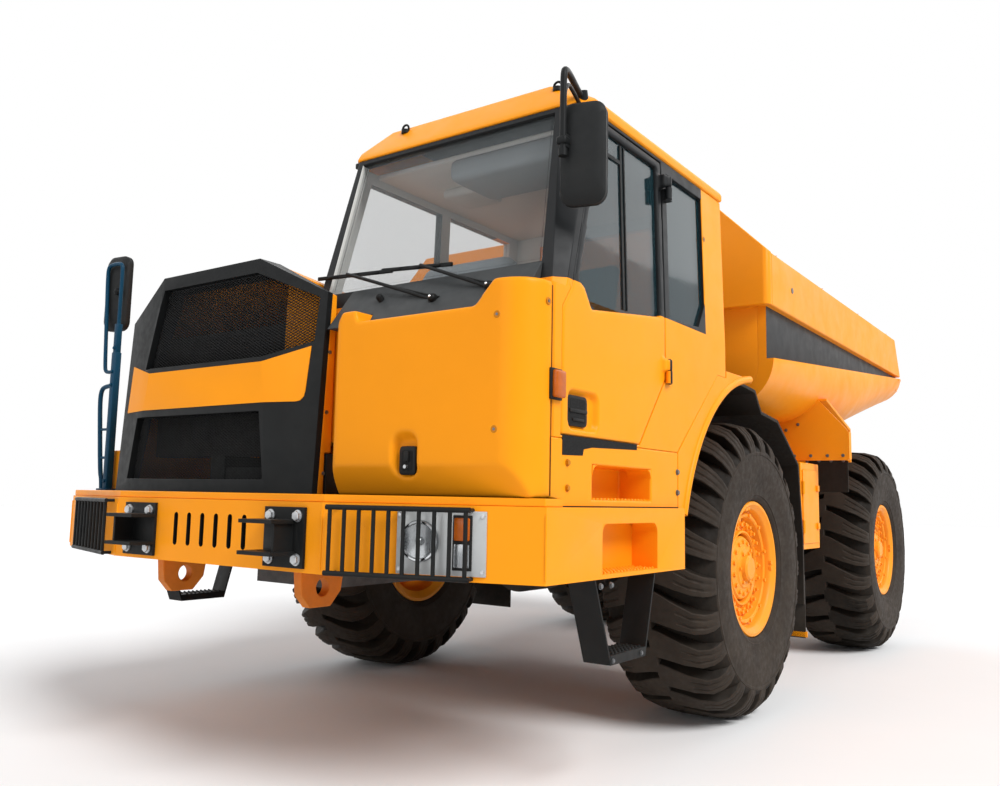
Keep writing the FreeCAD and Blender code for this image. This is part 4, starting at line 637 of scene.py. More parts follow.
def lay_on(bm, tree, outline, direction, thickness, cuts=(), margin=0.0):
    """A thin sheet that follows a surface: an outline pushed along a direction until it lands.

    cuts are (point, normal) planes where it bends; margin keeps only a rim that wide.
    """
    direction = Vector(direction).normalized()
    sheet = bmesh.new()
    face = sheet.faces.new([sheet.verts.new(p) for p in outline])
    if margin:
        bmesh.ops.inset_region(sheet, faces=[face], thickness=margin, use_boundary=True,
                               use_even_offset=True)
        bmesh.ops.delete(sheet, geom=[face], context="FACES_ONLY")
    split(sheet, cuts)
    for vert in sheet.verts:
        hit = tree.ray_cast(vert.co - direction * 2.0, direction)[0]
        if hit is None:
            raise RuntimeError("an outline point misses the surface it should lie on")
        vert.co = hit - direction * thickness
    back = bmesh.ops.extrude_face_region(sheet, geom=sheet.faces[:])
    bmesh.ops.translate(sheet, vec=direction * (thickness + 0.001), verts=new_verts(back))
    add_to(bm, sheet)


# ---------------------------------------------------------------- wheels
# across the tread from its middle: (part of half width, drop below the crown, lug height as
# a share of the tread depth, width along the tread, lead), in metres where not a share
LUG_ROWS = [(-0.045, 0.000, 1.0, 0.178, 0.000), (0.18, 0.000, 1.0, 0.168, 0.018),
            (0.48, 0.006, 1.0, 0.146, 0.060), (0.745, 0.030, 1.0, 0.124, 0.100),
            (0.885, 0.075, 0.95, 0.116, 0.118), (0.958, 0.122, 0.62, 0.112, 0.126),
            (0.984, 0.160, 0.20, 0.104, 0.128)]
LUG_LINES = (-0.5, -0.27, -0.19, -0.11, 0.11, 0.19, 0.27, 0.5)
NOTCH_LINES, NOTCH_DEPTH = (2, 5), 0.014
NOTCH_ROWS = 4               # rows of a lug, from its outer end, that carry the notches
LUG_ROOT, LUG_ROUND = 0.010, 0.007       # how deep a lug is rooted, rounding of its ridges
# drop below the crown down to which the carcass, and then the lugs' flanks, count as groove and
# take the darker rubber that paints the grooves' shade
GROOVE_FLOOR, GROOVE_WALL = 0.19, 0.16
# one side of the carcass: (drop below the crown, part of half width)
SIDEWALL = [(0.5155, 0.781), (0.4705, 0.781), (0.466, 0.866), (0.452, 0.905), (0.440, 0.912),
            (0.434, 0.930), (0.424, 0.926), (0.365, 0.972), (0.300, 0.998), (0.245, 0.998),
            (0.200, 0.985), (0.196, 0.996), (0.184, 0.995), (0.178, 0.975), (0.162, 0.960)]


def tyre_piece(end, side_name):
    """Carcass turned about the wheel's axis, with two rows of lugs that meet in a zigzag; the
    grooves get darker rubber as painted shade.
    """
    sizes = settings("truck_tyres")
    node = f"tyre_{end}_{side_name}"
    low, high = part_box(node)
    centre, radius, half = (low + high) / 2, (high.z - low.z) / 2, (high.x - low.x) / 2
    depth = sizes.depth
    crown = [(0.125 + depth * 0.3, 0.895), (0.078 + depth * 0.6, 0.80),
             (0.034 + depth, 0.60), (0.008 + depth, 0.36), (depth, 0.0)]
    one = [(radius - drop, half * share) for drop, share in SIDEWALL + crown]
    profile = one + [(r, -a) for r, a in reversed(one[:-1])]
    bm = bmesh.new()
    lathe(bm, profile, centre, X, sizes.steps, closed=True)
    for face in bm.faces:
        spot = face.calc_center_median() - centre
        if abs(spot.x) < half * 0.97 and math.hypot(spot.y, spot.z) > radius - GROOVE_FLOOR:
            face.material_index = 1
    pitch = math.tau / sizes.lugs
    for hand in (1, -1):
        part = bmesh.new()
        start = pitch * (0.25 if hand > 0 else -0.25)
        lug(part, centre, radius, half, hand, start, depth)
        bmesh.ops.spin(part, geom=part.verts[:] + part.edges[:] + part.faces[:], cent=centre,
                       axis=X, angle=pitch * (sizes.lugs - 1), steps=sizes.lugs - 1,
                       use_duplicate=True)
        add_to(bm, part)
    bm.normal_update()
    for face in bm.faces:
        spot = face.calc_center_median() - centre
        spot.x = 0
        if (spot.length > radius - GROOVE_WALL and face.normal.dot(spot.normalized()) < 0.25
                and abs(face.normal.x) < 0.7):
            face.material_index = 1
    made = piece(f"{node}_tread", bm, body_with(node), ("tyre", "groove"), 34)
    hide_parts(node)


def lug(bm, centre, radius, half, hand, start, depth):
    """One lug: a grid bent over the shoulder, with two notches in its outer end."""
    rows, lines = len(LUG_ROWS), len(LUG_LINES)
    grid = bmesh.ops.create_grid(bm, x_segments=rows - 1, y_segments=lines - 1, size=1.0)
    spots = {v: (round((v.co.x + 1) / 2 * (rows - 1)), round((v.co.y + 1) / 2 * (lines - 1)))
             for v in grid["verts"]}
    top = set(new_verts(bmesh.ops.extrude_face_region(bm, geom=bm.faces[:])))
    where = {}
    for vert in top:
        under = min(spots, key=lambda v: (v.co - vert.co).length_squared)
        where[vert] = spots[under]
    for vert, (row, line) in list(where.items()) + list(spots.items()):
        share, drop, height, width, lead = LUG_ROWS[row]
        out = radius - drop
        if vert in top:
            notched = line in NOTCH_LINES and row >= rows - NOTCH_ROWS
            out -= NOTCH_DEPTH if notched and row < rows - 1 else 0.0
        else:
            out -= depth * height + LUG_ROOT
        angle = start - (lead + LUG_LINES[line] * width) / radius
        vert.co = centre + Vector((hand * half * share, -math.cos(angle) * out,
                                   math.sin(angle) * out))
    bmesh.ops.recalc_face_normals(bm, faces=bm.faces)
    ridge = [e for e in bm.edges if len(e.link_faces) == 2
             and all(v in top for v in e.verts)
             and e.calc_face_angle(0.0) > math.radians(50)]
    round_edges(bm, ridge, LUG_ROUND, 1)


# from the hub's back to its cap: (radius, how far outwards)
RIM_PROFILE = [(0.0, -0.150), (0.185, -0.150), (0.185, 0.080), (0.316, 0.086), (0.3235, 0.05),
               (0.3235, -0.262), (0.345, -0.274), (0.372, -0.290), (0.394, -0.290),
               (0.394, -0.262), (0.349, -0.262), (0.349, 0.262), (0.394, 0.262),
               (0.394, 0.283), (0.389, 0.290), (0.374, 0.290), (0.368, 0.286),
               (0.360, 0.278), (0.350, 0.272), (0.344, 0.266), (0.340, 0.256),
               (0.336, 0.232), (0.328, 0.226), (0.322, 0.238), (0.316, 0.244),
               (0.304, 0.244), (0.297, 0.238), (0.292, 0.208), (0.286, 0.198),
               (0.226, 0.198), (0.220, 0.204), (0.217, 0.222), (0.207, 0.224),
               (0.201, 0.214), (0.199, 0.140), (0.187, 0.140), (0.185, 0.208),
               (0.177, 0.218), (0.124, 0.228), (0.114, 0.236), (0.080, 0.240),
               (0.074, 0.262), (0.062, 0.272), (0.0, 0.274)]
NUTS, HUB_BOLTS, CAP_BOLTS = 22, 14, 6
# radii of the circles that the wheel's fittings stand on
NUT_CIRCLE, PAD_CIRCLE, HUB_CIRCLE, CAP_CIRCLE = 0.257, 0.310, 0.151, 0.094
LOCK_CIRCLE, VALVE_CIRCLE = 0.356, 0.334


def rim_piece(end, side_name, side):
    """Rim with its flanges, nut circle, hub bolts, cap, valve and lock plates."""
    node = f"rim_{end}_{side_name}"
    low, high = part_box(node)
    centre, axis = (low + high) / 2, X * side
    bm = bmesh.new()
    lathe(bm, RIM_PROFILE, centre, axis, 80)

    def on_circle(radius, turn, out):
        return centre + axis * out + Vector((0, math.cos(turn), math.sin(turn))) * radius

    for k in range(NUTS):
        turn = math.tau * k / NUTS
        spot = on_circle(NUT_CIRCLE, turn, 0.198)
        bolt(bm, spot, axis, 0.021)
        rod(bm, spot, spot + axis * 0.036, 0.011, 10)
        if k % 2:
            pad = on_circle(PAD_CIRCLE, turn, 0.210)
            rod(bm, pad, pad + axis * 0.044, 0.012, 10)
    for k in range(HUB_BOLTS):
        turn = math.tau * (k + 0.5) / HUB_BOLTS
        bolt(bm, on_circle(HUB_CIRCLE, turn, 0.222), axis, 0.011)
    for k in range(CAP_BOLTS):
        bolt(bm, on_circle(CAP_CIRCLE, math.tau * k / CAP_BOLTS, 0.239), axis, 0.0095)
    for turn in (0.0, math.pi * 0.55):
        for step in (-0.05, 0.05):
            spot = on_circle(LOCK_CIRCLE, turn + step, 0.262)
            block(bm, spot - Vector((0.008, 0.016, 0.013)), spot + Vector((0.016, 0.016, 0.013)),
                  0.003)
    valve = on_circle(VALVE_CIRCLE, math.pi * 1.1, 0.20)
    rod(bm, valve, valve + axis * 0.05, 0.007, 10, 1.0, 1)
    rod(bm, valve + axis * 0.045, valve + axis * 0.062, 0.010, 10, 0.8, 1)
    made = piece(f"{node}_wheel", bm, body_with(node), ("rim", "dark_steel"), 26)
    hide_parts(node)


class TRUCK_OT_wheels(Operator):
    """Tyres and rims of the four wheels."""
    bl_idname = "truck.wheels"
    bl_label = "Wheels"

    def execute(self, context):
        for end in ENDS:
            for side_name, side in SIDES:
                tyre_piece(end, side_name)
                rim_piece(end, side_name, side)
        return {"FINISHED"}


# ---------------------------------------------------------------- chassis
LEAVES, LEAF_HALF = 9, 0.044
CLAMP_HALF, CLAMP_SHIFT = 0.049, 0.11    # a spring's clamps and how far they are off its middle
COVER_BOLTS, COVER_CIRCLE = 16, 0.205     # on the rear axle's cover
RAIL_BOLTS, RAIL_PITCH = 26, 0.225


class TRUCK_OT_chassis(Operator):
    """Leaf springs and the bolts of the rear axle and the frame."""
    bl_idname = "truck.chassis"
    bl_label = "Chassis"

    def execute(self, context):
        low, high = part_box("leaf_springs")
        thick = (high.z - 0.040 - low.z) / LEAVES
        bm = bmesh.new()
        for axle in ENDS:
            wheel_low, wheel_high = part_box(f"tyre_{axle}_left")
            middle = (wheel_low.y + wheel_high.y) / 2
            reach = min(middle - low.y, high.y - middle)
            for side in (1, -1):
                centre = side * (high.x - 0.045)
                for k in range(LEAVES):
                    length = reach * (0.30 + 0.70 * (k + 1) / LEAVES)
                    foot = low.z + k * thick
                    block(bm, (centre - LEAF_HALF, middle - length, foot + 0.0006),
                          (centre + LEAF_HALF, middle + length, foot + thick - 0.0006),
                          0.002, 1)
                for shift in (-CLAMP_SHIFT, CLAMP_SHIFT):
                    block(bm, (centre - CLAMP_HALF, middle + shift - 0.011, low.z),
                          (centre + CLAMP_HALF, middle + shift + 0.011, high.z - 0.002), 0.003)
                    for x in (-CLAMP_HALF, CLAMP_HALF):
                        rod(bm, (centre + x, middle + shift, low.z - 0.02),
                            (centre + x, middle + shift, high.z), 0.010, 10)
                for end in (-1, 1):
                    eye = Vector((centre, middle + end * (reach - 0.04), high.z - 0.045))
                    rod(bm, eye - X * 0.05, eye + X * 0.05, 0.034, 20)
        made = piece("leaf_spring_stacks", bm, "chassis", "frame", 30)
        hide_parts("leaf_springs")
        self.fasten()
        return {"FINISHED"}

    def fasten(self):
        """Bolts on the rear axle's cover and along the frame rails."""
        bm = bmesh.new()
        low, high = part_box("rear_axle")
        middle = (low + high) / 2
        for k in range(COVER_BOLTS):
            turn = math.tau * k / COVER_BOLTS
            bolt(bm, (math.cos(turn) * COVER_CIRCLE, high.y - 0.004,
                      middle.z + math.sin(turn) * COVER_CIRCLE), Y, 0.012)
        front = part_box("chassis_frame")[0].y + 0.25
        for side in (1, -1):
            for k in range(RAIL_BOLTS):
                y = front + k * RAIL_PITCH
                for z in (1.18, 1.38):
                    bolt(bm, (side * 0.4195, y, z), X * side, 0.011)
        piece("frame_bolts", bm, "chassis", "dark_steel", 30)


# ---------------------------------------------------------------- bumper and its fittings
LAMP_FACE_HALF = 0.729       # where the bumper's front face ends
LAMP_FACE_DEPTH = 0.272      # how far its angled corner runs back
SLOTS_HALF, SLOTS_LOW, SLOTS_HIGH = 0.30, 0.99, 1.16     # where its slots are


def corner_frame(side):
    """Origin and directions on the bumper's angled corner: along it, out of it."""
    low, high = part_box("front_bumper")
    start = Vector((side * LAMP_FACE_HALF, low.y, 0))
    run = Vector((side * (high.x - LAMP_FACE_HALF), LAMP_FACE_DEPTH, 0)).normalized()
    return start, run, Vector((run.y * side, -run.x * side, 0))


class TRUCK_OT_bumper(Operator):
    """Bumper with its weld seams, deck, push brackets with their bolts, and towing hooks."""
    bl_idname = "truck.bumper"
    bl_label = "Bumper"

    def execute(self, context):
        sizes = settings("truck_panels")
        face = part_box("front_bumper")[0].y

        def slot_tone(c, n):
            """Whether a face lines one of the slots in the bumper's front; those faces get
            near-black painted shade.
            """
            return int(abs(c.x) < SLOTS_HALF and face + 0.004 < c.y < face + 0.07
                       and SLOTS_LOW < c.z < SLOTS_HIGH)

        softened("front_bumper", ("paint", "void"), 0.005, 2, tone=slot_tone)
        softened("front_deck", ("paint", "frame"), 0.004, 1,
                 tone=lambda c, n: int(n.z > 0.9 and abs(c.x) < 1.5))
        softened("push_brackets", "black", 0.004, 2)
        softened("tow_hooks", "casting", 0.006, 2)
        bm = bmesh.new()
        low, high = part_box("push_brackets")
        for side in (1, -1):
            for x in (high.x - 0.205, high.x - 0.038):
                for z in (low.z + 0.036, high.z - 0.036):
                    bolt(bm, (side * x, high.y - 0.014, z), -Y, sizes.bolt)
        piece("bracket_bolts", bm, "chassis", "steel", 30)
        self.weld_seams()
        return {"FINISHED"}

    def weld_seams(self):
        """Weld beads up the bumper's corners."""
        bm = bmesh.new()
        low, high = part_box("front_bumper")
        for side in (1, -1):
            for x, y in ((LAMP_FACE_HALF, low.y), (high.x, low.y + LAMP_FACE_DEPTH)):
                seam = [(side * x, y, low.z + 0.02 + 0.02 * k) for k in range(13)]
                tube(bm, seam, 0.0045)
        piece("bumper_welds", bm, "chassis", "paint", 60)


class TRUCK_OT_lamps(Operator):
    """Headlamps, turn lamps and the bars in front of them."""
    bl_idname = "truck.lamps"
    bl_label = "Lamps"

    def execute(self, context):
        plate_low, plate_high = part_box("headlamps")
        guard_low, guard_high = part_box("lamp_guards")
        lamps, bars = bmesh.new(), bmesh.new()
        for side in (1, -1):
            start, run, out = corner_frame(side)

            def at(along, off, z):
                return start + run * along + out * off + Z * z

            self.lamp_plate(lamps, at, run, out, plate_low.z, plate_high.z)
            self.guard(bars, at, guard_low.z + 0.011, guard_high.z - 0.011)
        made = piece("lamp_sets", lamps, "chassis",
                     ("alloy", "reflector", "clear", "amber", "grained", "steel"), 30)
        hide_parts("headlamps")
        made = piece("lamp_bars", bars, "chassis", "black", 40)
        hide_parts("lamp_guards")
        return {"FINISHED"}

    def lamp_plate(self, bm, at, run, out, low, high):
        """A plate with a round headlamp, and a turn lamp over a small square one."""
        turned = Matrix((run, out, Z)).transposed().to_4x4()
        # along the bumper's corner, out of it and up, then the rounding and the finish
        for a0, a1, o0, o1, z0, z1, edge, index in (
                (0.338, 0.712, 0.0, 0.008, low + 0.004, high - 0.004, 0.003, 0),
                (0.575, 0.655, 0.004, 0.012, low + 0.025, high - 0.020, 0.003, 4),
                (0.583, 0.647, 0.010, 0.024, 1.078, high - 0.030, 0.006, 3),
                (0.583, 0.647, 0.010, 0.020, low + 0.035, 1.066, 0.006, 1),
                (0.586, 0.644, 0.019, 0.023, low + 0.038, 1.063, 0.004, 2)):
            place = Matrix.Translation(at((a0 + a1) / 2, (o0 + o1) / 2, (z0 + z1) / 2))
            half = Vector(((a1 - a0) / 2, (o1 - o0) / 2, (z1 - z0) / 2))
            block(bm, -half, half, edge, 2, index, place @ turned)
        centre = at(0.437, 0.006, 1.072)
        lathe(bm, [(0.0, 0.003), (0.048, 0.004), (0.066, 0.011), (0.070, 0.016), (0.077, 0.017),
                   (0.081, 0.010), (0.081, 0.0)], centre, out, 40, index=1)
        ball(bm, centre + out * 0.004, 0.018, 1, 12)
        lathe(bm, [(0.0, 0.0235), (0.030, 0.0225), (0.053, 0.0195), (0.071, 0.0150)], centre,
              out, 40, index=2)
        for a in (0.352, 0.698):
            for z in (low + 0.022, high - 0.022):
                bolt(bm, at(a, 0.008, z), out, 0.007, 5)

    def guard(self, bm, at, low, high):
        """Upright bars between two rails on stand-offs."""
        first, last, count, off = 0.060, 0.640, 10, 0.045
        for z in (low, high):
            rod(bm, at(first - 0.018, off, z), at(last + 0.018, off, z), 0.0105, 14)
            for a in (first, (first + last) / 2, last):
                rod(bm, at(a + 0.012, 0.0, z), at(a + 0.012, off, z), 0.008, 10)
        for k in range(count):
            a = first + (last - first) * k / (count - 1)
            rod(bm, at(a, off, low), at(a, off, high), 0.0085, 12)


# ---------------------------------------------------------------- steps, fenders, tool boxes
DECK_Z, BUMPER_TREAD_Z = 1.245, 0.941
STEP_SHIFT = 0.150           # how far behind the left hanging step the right one hangs
GRIP_PITCH, GRIP_HEIGHT = 0.030, 0.008
# step wells in the skirt and in the bumper: (face, front, rear, top)
STEP_WELLS = ((1.5995, -2.700, -2.153, 1.388), (1.6325, -2.672, -2.154, 1.147))
WELL_CORNER, WELL_DEPTH = 0.042, 0.120
# arch: reach from the axle and half thickness of its lip
ARCH_REACH, ARCH_LIP = 1.113, 0.023


def grip_teeth(bm, x0, x1, y0, y1, z, index):
    """Rows of low studs on a tread plate."""
    pitch, height = GRIP_PITCH, GRIP_HEIGHT
    across, along = max(2, int((x1 - x0) / pitch)), max(2, int((y1 - y0) / pitch))
    for i in range(across):
        for k in range(along):
            x = x0 + (i + 0.5) * (x1 - x0) / across
            y = y0 + (k + 0.5 + 0.5 * (i % 2) - 0.25) * (y1 - y0) / along
            rod(bm, (x, y, z - 0.001), (x, y, z + height), pitch * 0.30, 6, 0.5, index)


class TRUCK_OT_steps(Operator):
    """Hanging steps, step wells, side skirts, fenders, mudguards and tool boxes."""
    bl_idname = "truck.steps"
    bl_label = "Steps and fenders"

    def execute(self, context):
        softened("hanging_steps", "black", 0.003, 1)
        softened("side_skirts", "paint", 0.010, 2, long_edges=0.05)
        softened("fenders", "paint", 0.010, 2)
        softened("front_mudguards", "rubber", 0.004, 1)
        softened("tool_boxes", "paint", 0.006, 2)
        self.grips()
        self.box_doors()
        self.arch_lips()
        self.well_corners()
        return {"FINISHED"}

    def well_corners(self):
        """Rounded upper corners of the step wells and the seam over the bumper."""
        bm = bmesh.new()
        turns = [math.radians(15 * k) for k in range(7)]
        for side in (1, -1):
            for face, y0, y1, top in STEP_WELLS:
                for y, way in ((y0, 1), (y1, -1)):
                    arc = [(y + way * WELL_CORNER * (1 - math.cos(a)),
                            top - WELL_CORNER * (1 - math.sin(a))) for a in turns]
                    plate(bm, [(side * face, a, b) for a, b in [(y, top)] + arc],
                          X * side * -WELL_DEPTH)
            side_block(bm, side, 1.598, 1.6008, (-2.930, 1.208), (-1.852, 1.218), 0.0, 1, 1)
        piece("step_well_corners", bm, "chassis", ("paint", "void"), 30)

    def grips(self):
        """Studs on the treads and the bolts of the steps and skirts."""
        bm = bmesh.new()
        skirt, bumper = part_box("side_skirts")[1].x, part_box("front_bumper")[1].x
        step_low, step_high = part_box("hanging_steps")
        for side, shift in ((1, 0.0), (-1, STEP_SHIFT)):
            for x0, x1, y0, y1, z in (
                    (bumper - 0.128, bumper - 0.006, -2.668, -2.158, BUMPER_TREAD_Z),
                    (skirt - 0.165, skirt - 0.006, -2.696, -2.158, DECK_Z),
                    (step_high.x - 0.126, step_high.x - 0.004, -2.552 + shift,
                     -2.274 + shift, step_low.z + 0.040)):
                a, b = sorted((side * x0, side * x1))
                grip_teeth(bm, a, b, y0, y1, z, int(z <= 0.9))
        piece("step_grips", bm, "chassis", ("paint", "black"), 40)
        bolts = bmesh.new()
        for side, shift in ((1, 0.0), (-1, STEP_SHIFT)):
            for y in (step_low.y + 0.05 + shift, step_low.y + 0.14 + shift):
                bolt(bolts, (side * step_high.x, y, step_high.z - 0.030), X * side, 0.010)
            for y in (-2.56 + shift, -2.30 + shift):
                bolt(bolts, (side * step_high.x, y, step_low.z + 0.018), X * side, 0.008)
            for y in (-2.905, -1.865):
                for z in (1.388, 1.288):
                    bolt(bolts, (side * skirt, y, z), X * side, 0.011, int(y < -2.5))
        piece("step_bolts", bolts, "chassis", ("dark_steel", "shade_paint"), 30)

    def arch_lips(self):
        """Rounded lip along each fender's arch and the foot bracket of each mudguard flap."""
        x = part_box("fenders")[1].x - 0.008
        wheel_low, wheel_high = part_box("tyre_front_left")
        centre = (wheel_low + wheel_high) / 2
        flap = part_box("front_mudguards")[1].y
        arc = [math.radians(16.5 + 4.0 * k) for k in range(18)]
        bm = bmesh.new()
        for side in (1, -1):
            tube(bm, [(side * x, centre.y - ARCH_REACH * math.cos(a),
                       centre.z + ARCH_REACH * math.sin(a)) for a in arc], ARCH_LIP)
            side_block(bm, side, 1.40, 1.53, (flap - 0.012, 0.335), (flap + 0.004, 0.375), 0.003)
        piece("fender_lips", bm, "chassis", "paint", 40)

    def box_doors(self):
        """A lid with hinges and latches on each tool box's outer face."""
        bm = bmesh.new()
        low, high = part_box("tool_boxes")
        face = high.x
        for side in (1, -1):
            outline = [(side * face, y, z) for y, z in
                       ((low.y + 0.03, low.z + 0.04), (high.y - 0.03, low.z + 0.04),
                        (high.y - 0.03, high.z - 0.05), (low.y + 0.03, high.z - 0.05))]
            plate(bm, outline, X * side * 0.008, 0, 0.003)
            for z in (low.z + 0.16, high.z - 0.18):
                rod(bm, (side * (face + 0.010), low.y + 0.022, z - 0.045),
                    (side * (face + 0.010), low.y + 0.022, z + 0.045), 0.011, 12)
                block(bm, (side * (face + 0.012) - 0.010, high.y - 0.10, z - 0.022),
                      (side * (face + 0.012) + 0.010, high.y - 0.055, z + 0.022), 0.004)
            for z in (low.z + 0.14, high.z - 0.14):
                block(bm, (side * (face - 0.10) - 0.03, low.y - 0.022, z - 0.035),
                      (side * (face - 0.10) + 0.03, low.y + 0.004, z + 0.035), 0.006)
        piece("tool_box_lids", bm, "chassis", "paint", 30)


# ---------------------------------------------------------------- hood and grille
BEND_FOOT, BEND_TOP = 0.530, 0.385     # half width of the grille's front facet
WIRE = 0.0062                # thickness of the mesh's wires
COOLER_TUBES = 34
STRIPE = [(-0.712, 1.668), (-0.694, 1.925), (-0.450, 1.864), (0.450, 1.864), (0.712, 1.926),
          (0.700, 1.720), (0.694, 1.690), (0.676, 1.672), (0.650, 1.668)]
MESH_WINDOWS = (
    [(-0.515, 1.890), (-0.372, 2.305), (0.372, 2.305), (0.735, 2.158), (0.722, 1.950),
     (0.447, 1.888)],
    [(-0.615, 1.310), (-0.560, 1.632), (0.450, 1.628), (0.505, 1.308)])


class TRUCK_OT_hood(Operator):
    """Hood, grille frame with its painted stripe, and the wire mesh in its windows."""
    bl_idname = "truck.hood"
    bl_label = "Hood and grille"

    def execute(self, context):
        sizes = settings("truck_panels")
        hood_low, hood_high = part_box("hood")
        heart = (hood_low + hood_high) / 2

        def hood_tone(centre, normal):
            """Whether a face lines the hood's inside, which gets a darker copy of the paint as
            painted shade.
            """
            out = centre - heart
            return int(normal.z < -0.3 or normal.x * out.x < -0.05 * abs(out.x)
                       or (normal.y < -0.5 and centre.y > hood_high.y - 0.2)
                       or (normal.y > 0.5 and centre.y < hood_low.y + 0.3))

        softened("hood", ("paint", "inner_shade"), sizes.fold * 0.8, 2, tone=hood_tone)
        softened("grille", "black", 0.006, 2)
        low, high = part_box("grille")
        self.stripe(low, high)
        self.wires((low.x + high.x) / 2, sizes.mesh_cell)
        self.screws(low, high)
        self.cooler_tubes()
        return {"FINISHED"}

    def stripe(self, low, high):
        """Painted stripe that follows the grille's front and bends around its corners."""
        middle = (low.x + high.x) / 2
        bends = []
        for side in (1, -1):
            foot = Vector((middle + side * BEND_FOOT, 0, low.z))
            top = Vector((middle + side * BEND_TOP, 0, high.z))
            bends.append((foot, (top - foot).cross(Y)))
        bm = bmesh.new()
        outline = [(middle + x, low.y - 0.05, z) for x, z in STRIPE]
        lay_on(bm, surface_of("grille"), outline, Y, 0.003, cuts=bends)
        piece("grille_stripe", bm, "chassis", "paint", 20)

    def wires(self, middle, cell):
        """Wire mesh in the grille's two windows."""
        bm = bmesh.new()
        tree = surface_of("grille_mesh")
        for window in MESH_WINDOWS:
            self.mesh_sheet(bm, tree, [(middle + x, z) for x, z in window], cell)
        made = piece("grille_wires", bm, "chassis", "mesh", 60)
        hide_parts("grille_mesh")

    def mesh_sheet(self, bm, tree, outline, cell):
        """Diamond mesh cut to a window and bent like the sheet that it stands for."""
        part = bmesh.new()
        xs, zs = zip(*outline)
        flat = 0.55              # a diamond's height as a share of its width
        reach = (max(xs) - min(xs) + (max(zs) - min(zs)) / flat) / 2
        side = reach * math.sqrt(2)
        count = math.ceil(side / (cell / math.sqrt(2)))
        place = (Matrix.Translation(((max(xs) + min(xs)) / 2, 0, (max(zs) + min(zs)) / 2))
                 @ Matrix.Diagonal((1, 1, flat, 1)) @ Matrix.Rotation(math.radians(45), 4, "Y")
                 @ Matrix.Rotation(math.radians(90), 4, "X"))
        bmesh.ops.create_grid(part, x_segments=count, y_segments=count, size=side / 2,
                              matrix=place)
        middle = Vector((sum(xs) / len(xs), 0, sum(zs) / len(zs)))
        for (x0, z0), (x1, z1) in zip(outline, outline[1:] + outline[:1]):
            normal = Vector((z1 - z0, 0, x0 - x1)).normalized()
            if normal.dot(middle - Vector((x0, 0, z0))) > 0:
                normal.negate()
            split(part, [((x0, 0, z0), normal)], drop=True)
        for vert in part.verts:
            hit = tree.ray_cast(Vector((vert.co.x, -6.0, vert.co.z)), Y)[0]
            if hit is None:
                hit = tree.find_nearest(Vector((vert.co.x, -3.12, vert.co.z)))[0]
            vert.co.y = hit.y + 0.004
        bmesh.ops.wireframe(part, faces=part.faces, thickness=WIRE, use_replace=True,
                            use_boundary=True)
        add_to(bm, part)

    def screws(self, low, high):
        """Screws along the hood's side panels, behind the grille frame."""
        bm = bmesh.new()
        tree = surface_of("hood")
        middle = (low.x + high.x) / 2
        for side in (1, -1):
            for y, z in ((-3.075, 1.90), (-3.080, 1.62), (-3.085, 1.34), (-2.95, 1.30),
                         (-2.20, 1.34), (-1.60, 1.80)):
                start = Vector((middle + side * 2.0, y, z))
                hit, normal = tree.ray_cast(start, X * -side)[:2]
                if hit is not None:
                    rod(bm, hit - normal * 0.002, hit + normal * 0.004, 0.009, 14)
        piece("hood_screws", bm, "chassis", "dark_steel", 30)

    def cooler_tubes(self):
        """Tubes of the cooler that show through the mesh."""
        low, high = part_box("radiator")
        bm = bmesh.new()
        for k in range(COOLER_TUBES):
            z = low.z + 0.03 + (high.z - low.z - 0.06) * k / (COOLER_TUBES - 1)
            block(bm, (low.x + 0.02, low.y - 0.006, z - 0.004), (high.x - 0.02, low.y, z + 0.004))
        piece("cooler_tubes", bm, "chassis", "fins", 30)


# ---------------------------------------------------------------- cab
WINDOW_SILL = 2.136          # above this the cab's pillars are black
QUARTER_REAR = -1.485        # and in front of this
HINGE_FACE, HINGE_Y = 1.612, -1.990      # hinges stand out beyond it, their pins are here
HANDLE_Z = 1.602


def inner_wall(centre, normal):
    """Whether a face of the cab's shell lines its inside."""
    low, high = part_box("cab_shell")
    return ((normal.x < -0.9 and centre.x > high.x - 0.20)
            or (normal.x > 0.9 and centre.x < low.x + 0.15)
            or (normal.y < -0.9 and centre.y > high.y - 0.15)
            or (normal.y > 0.8 and centre.y < low.y + 0.60)
            or (normal.z > 0.9 and centre.z < low.z + 0.15))


def hinge_pin(centre):
    """Whether a face is the strip down a door hinge's middle."""
    return centre.x > HINGE_FACE and abs(centre.y - HINGE_Y) < 0.011


def cab_tone(centre, normal):
    """Lining inside, black around the windows and on the hinges' pins, paint elsewhere."""
    if inner_wall(centre, normal):
        return 2
    if centre.z > WINDOW_SILL:
        return int(centre.y < QUARTER_REAR or centre.x > HINGE_FACE)
    return int(hinge_pin(centre))


def door_tone(centre, normal):
    """Lining inside, black around the window and on the hinges' pins, paint elsewhere."""
    return 2 if normal.x < -0.9 else int(centre.z > WINDOW_SILL or hinge_pin(centre))


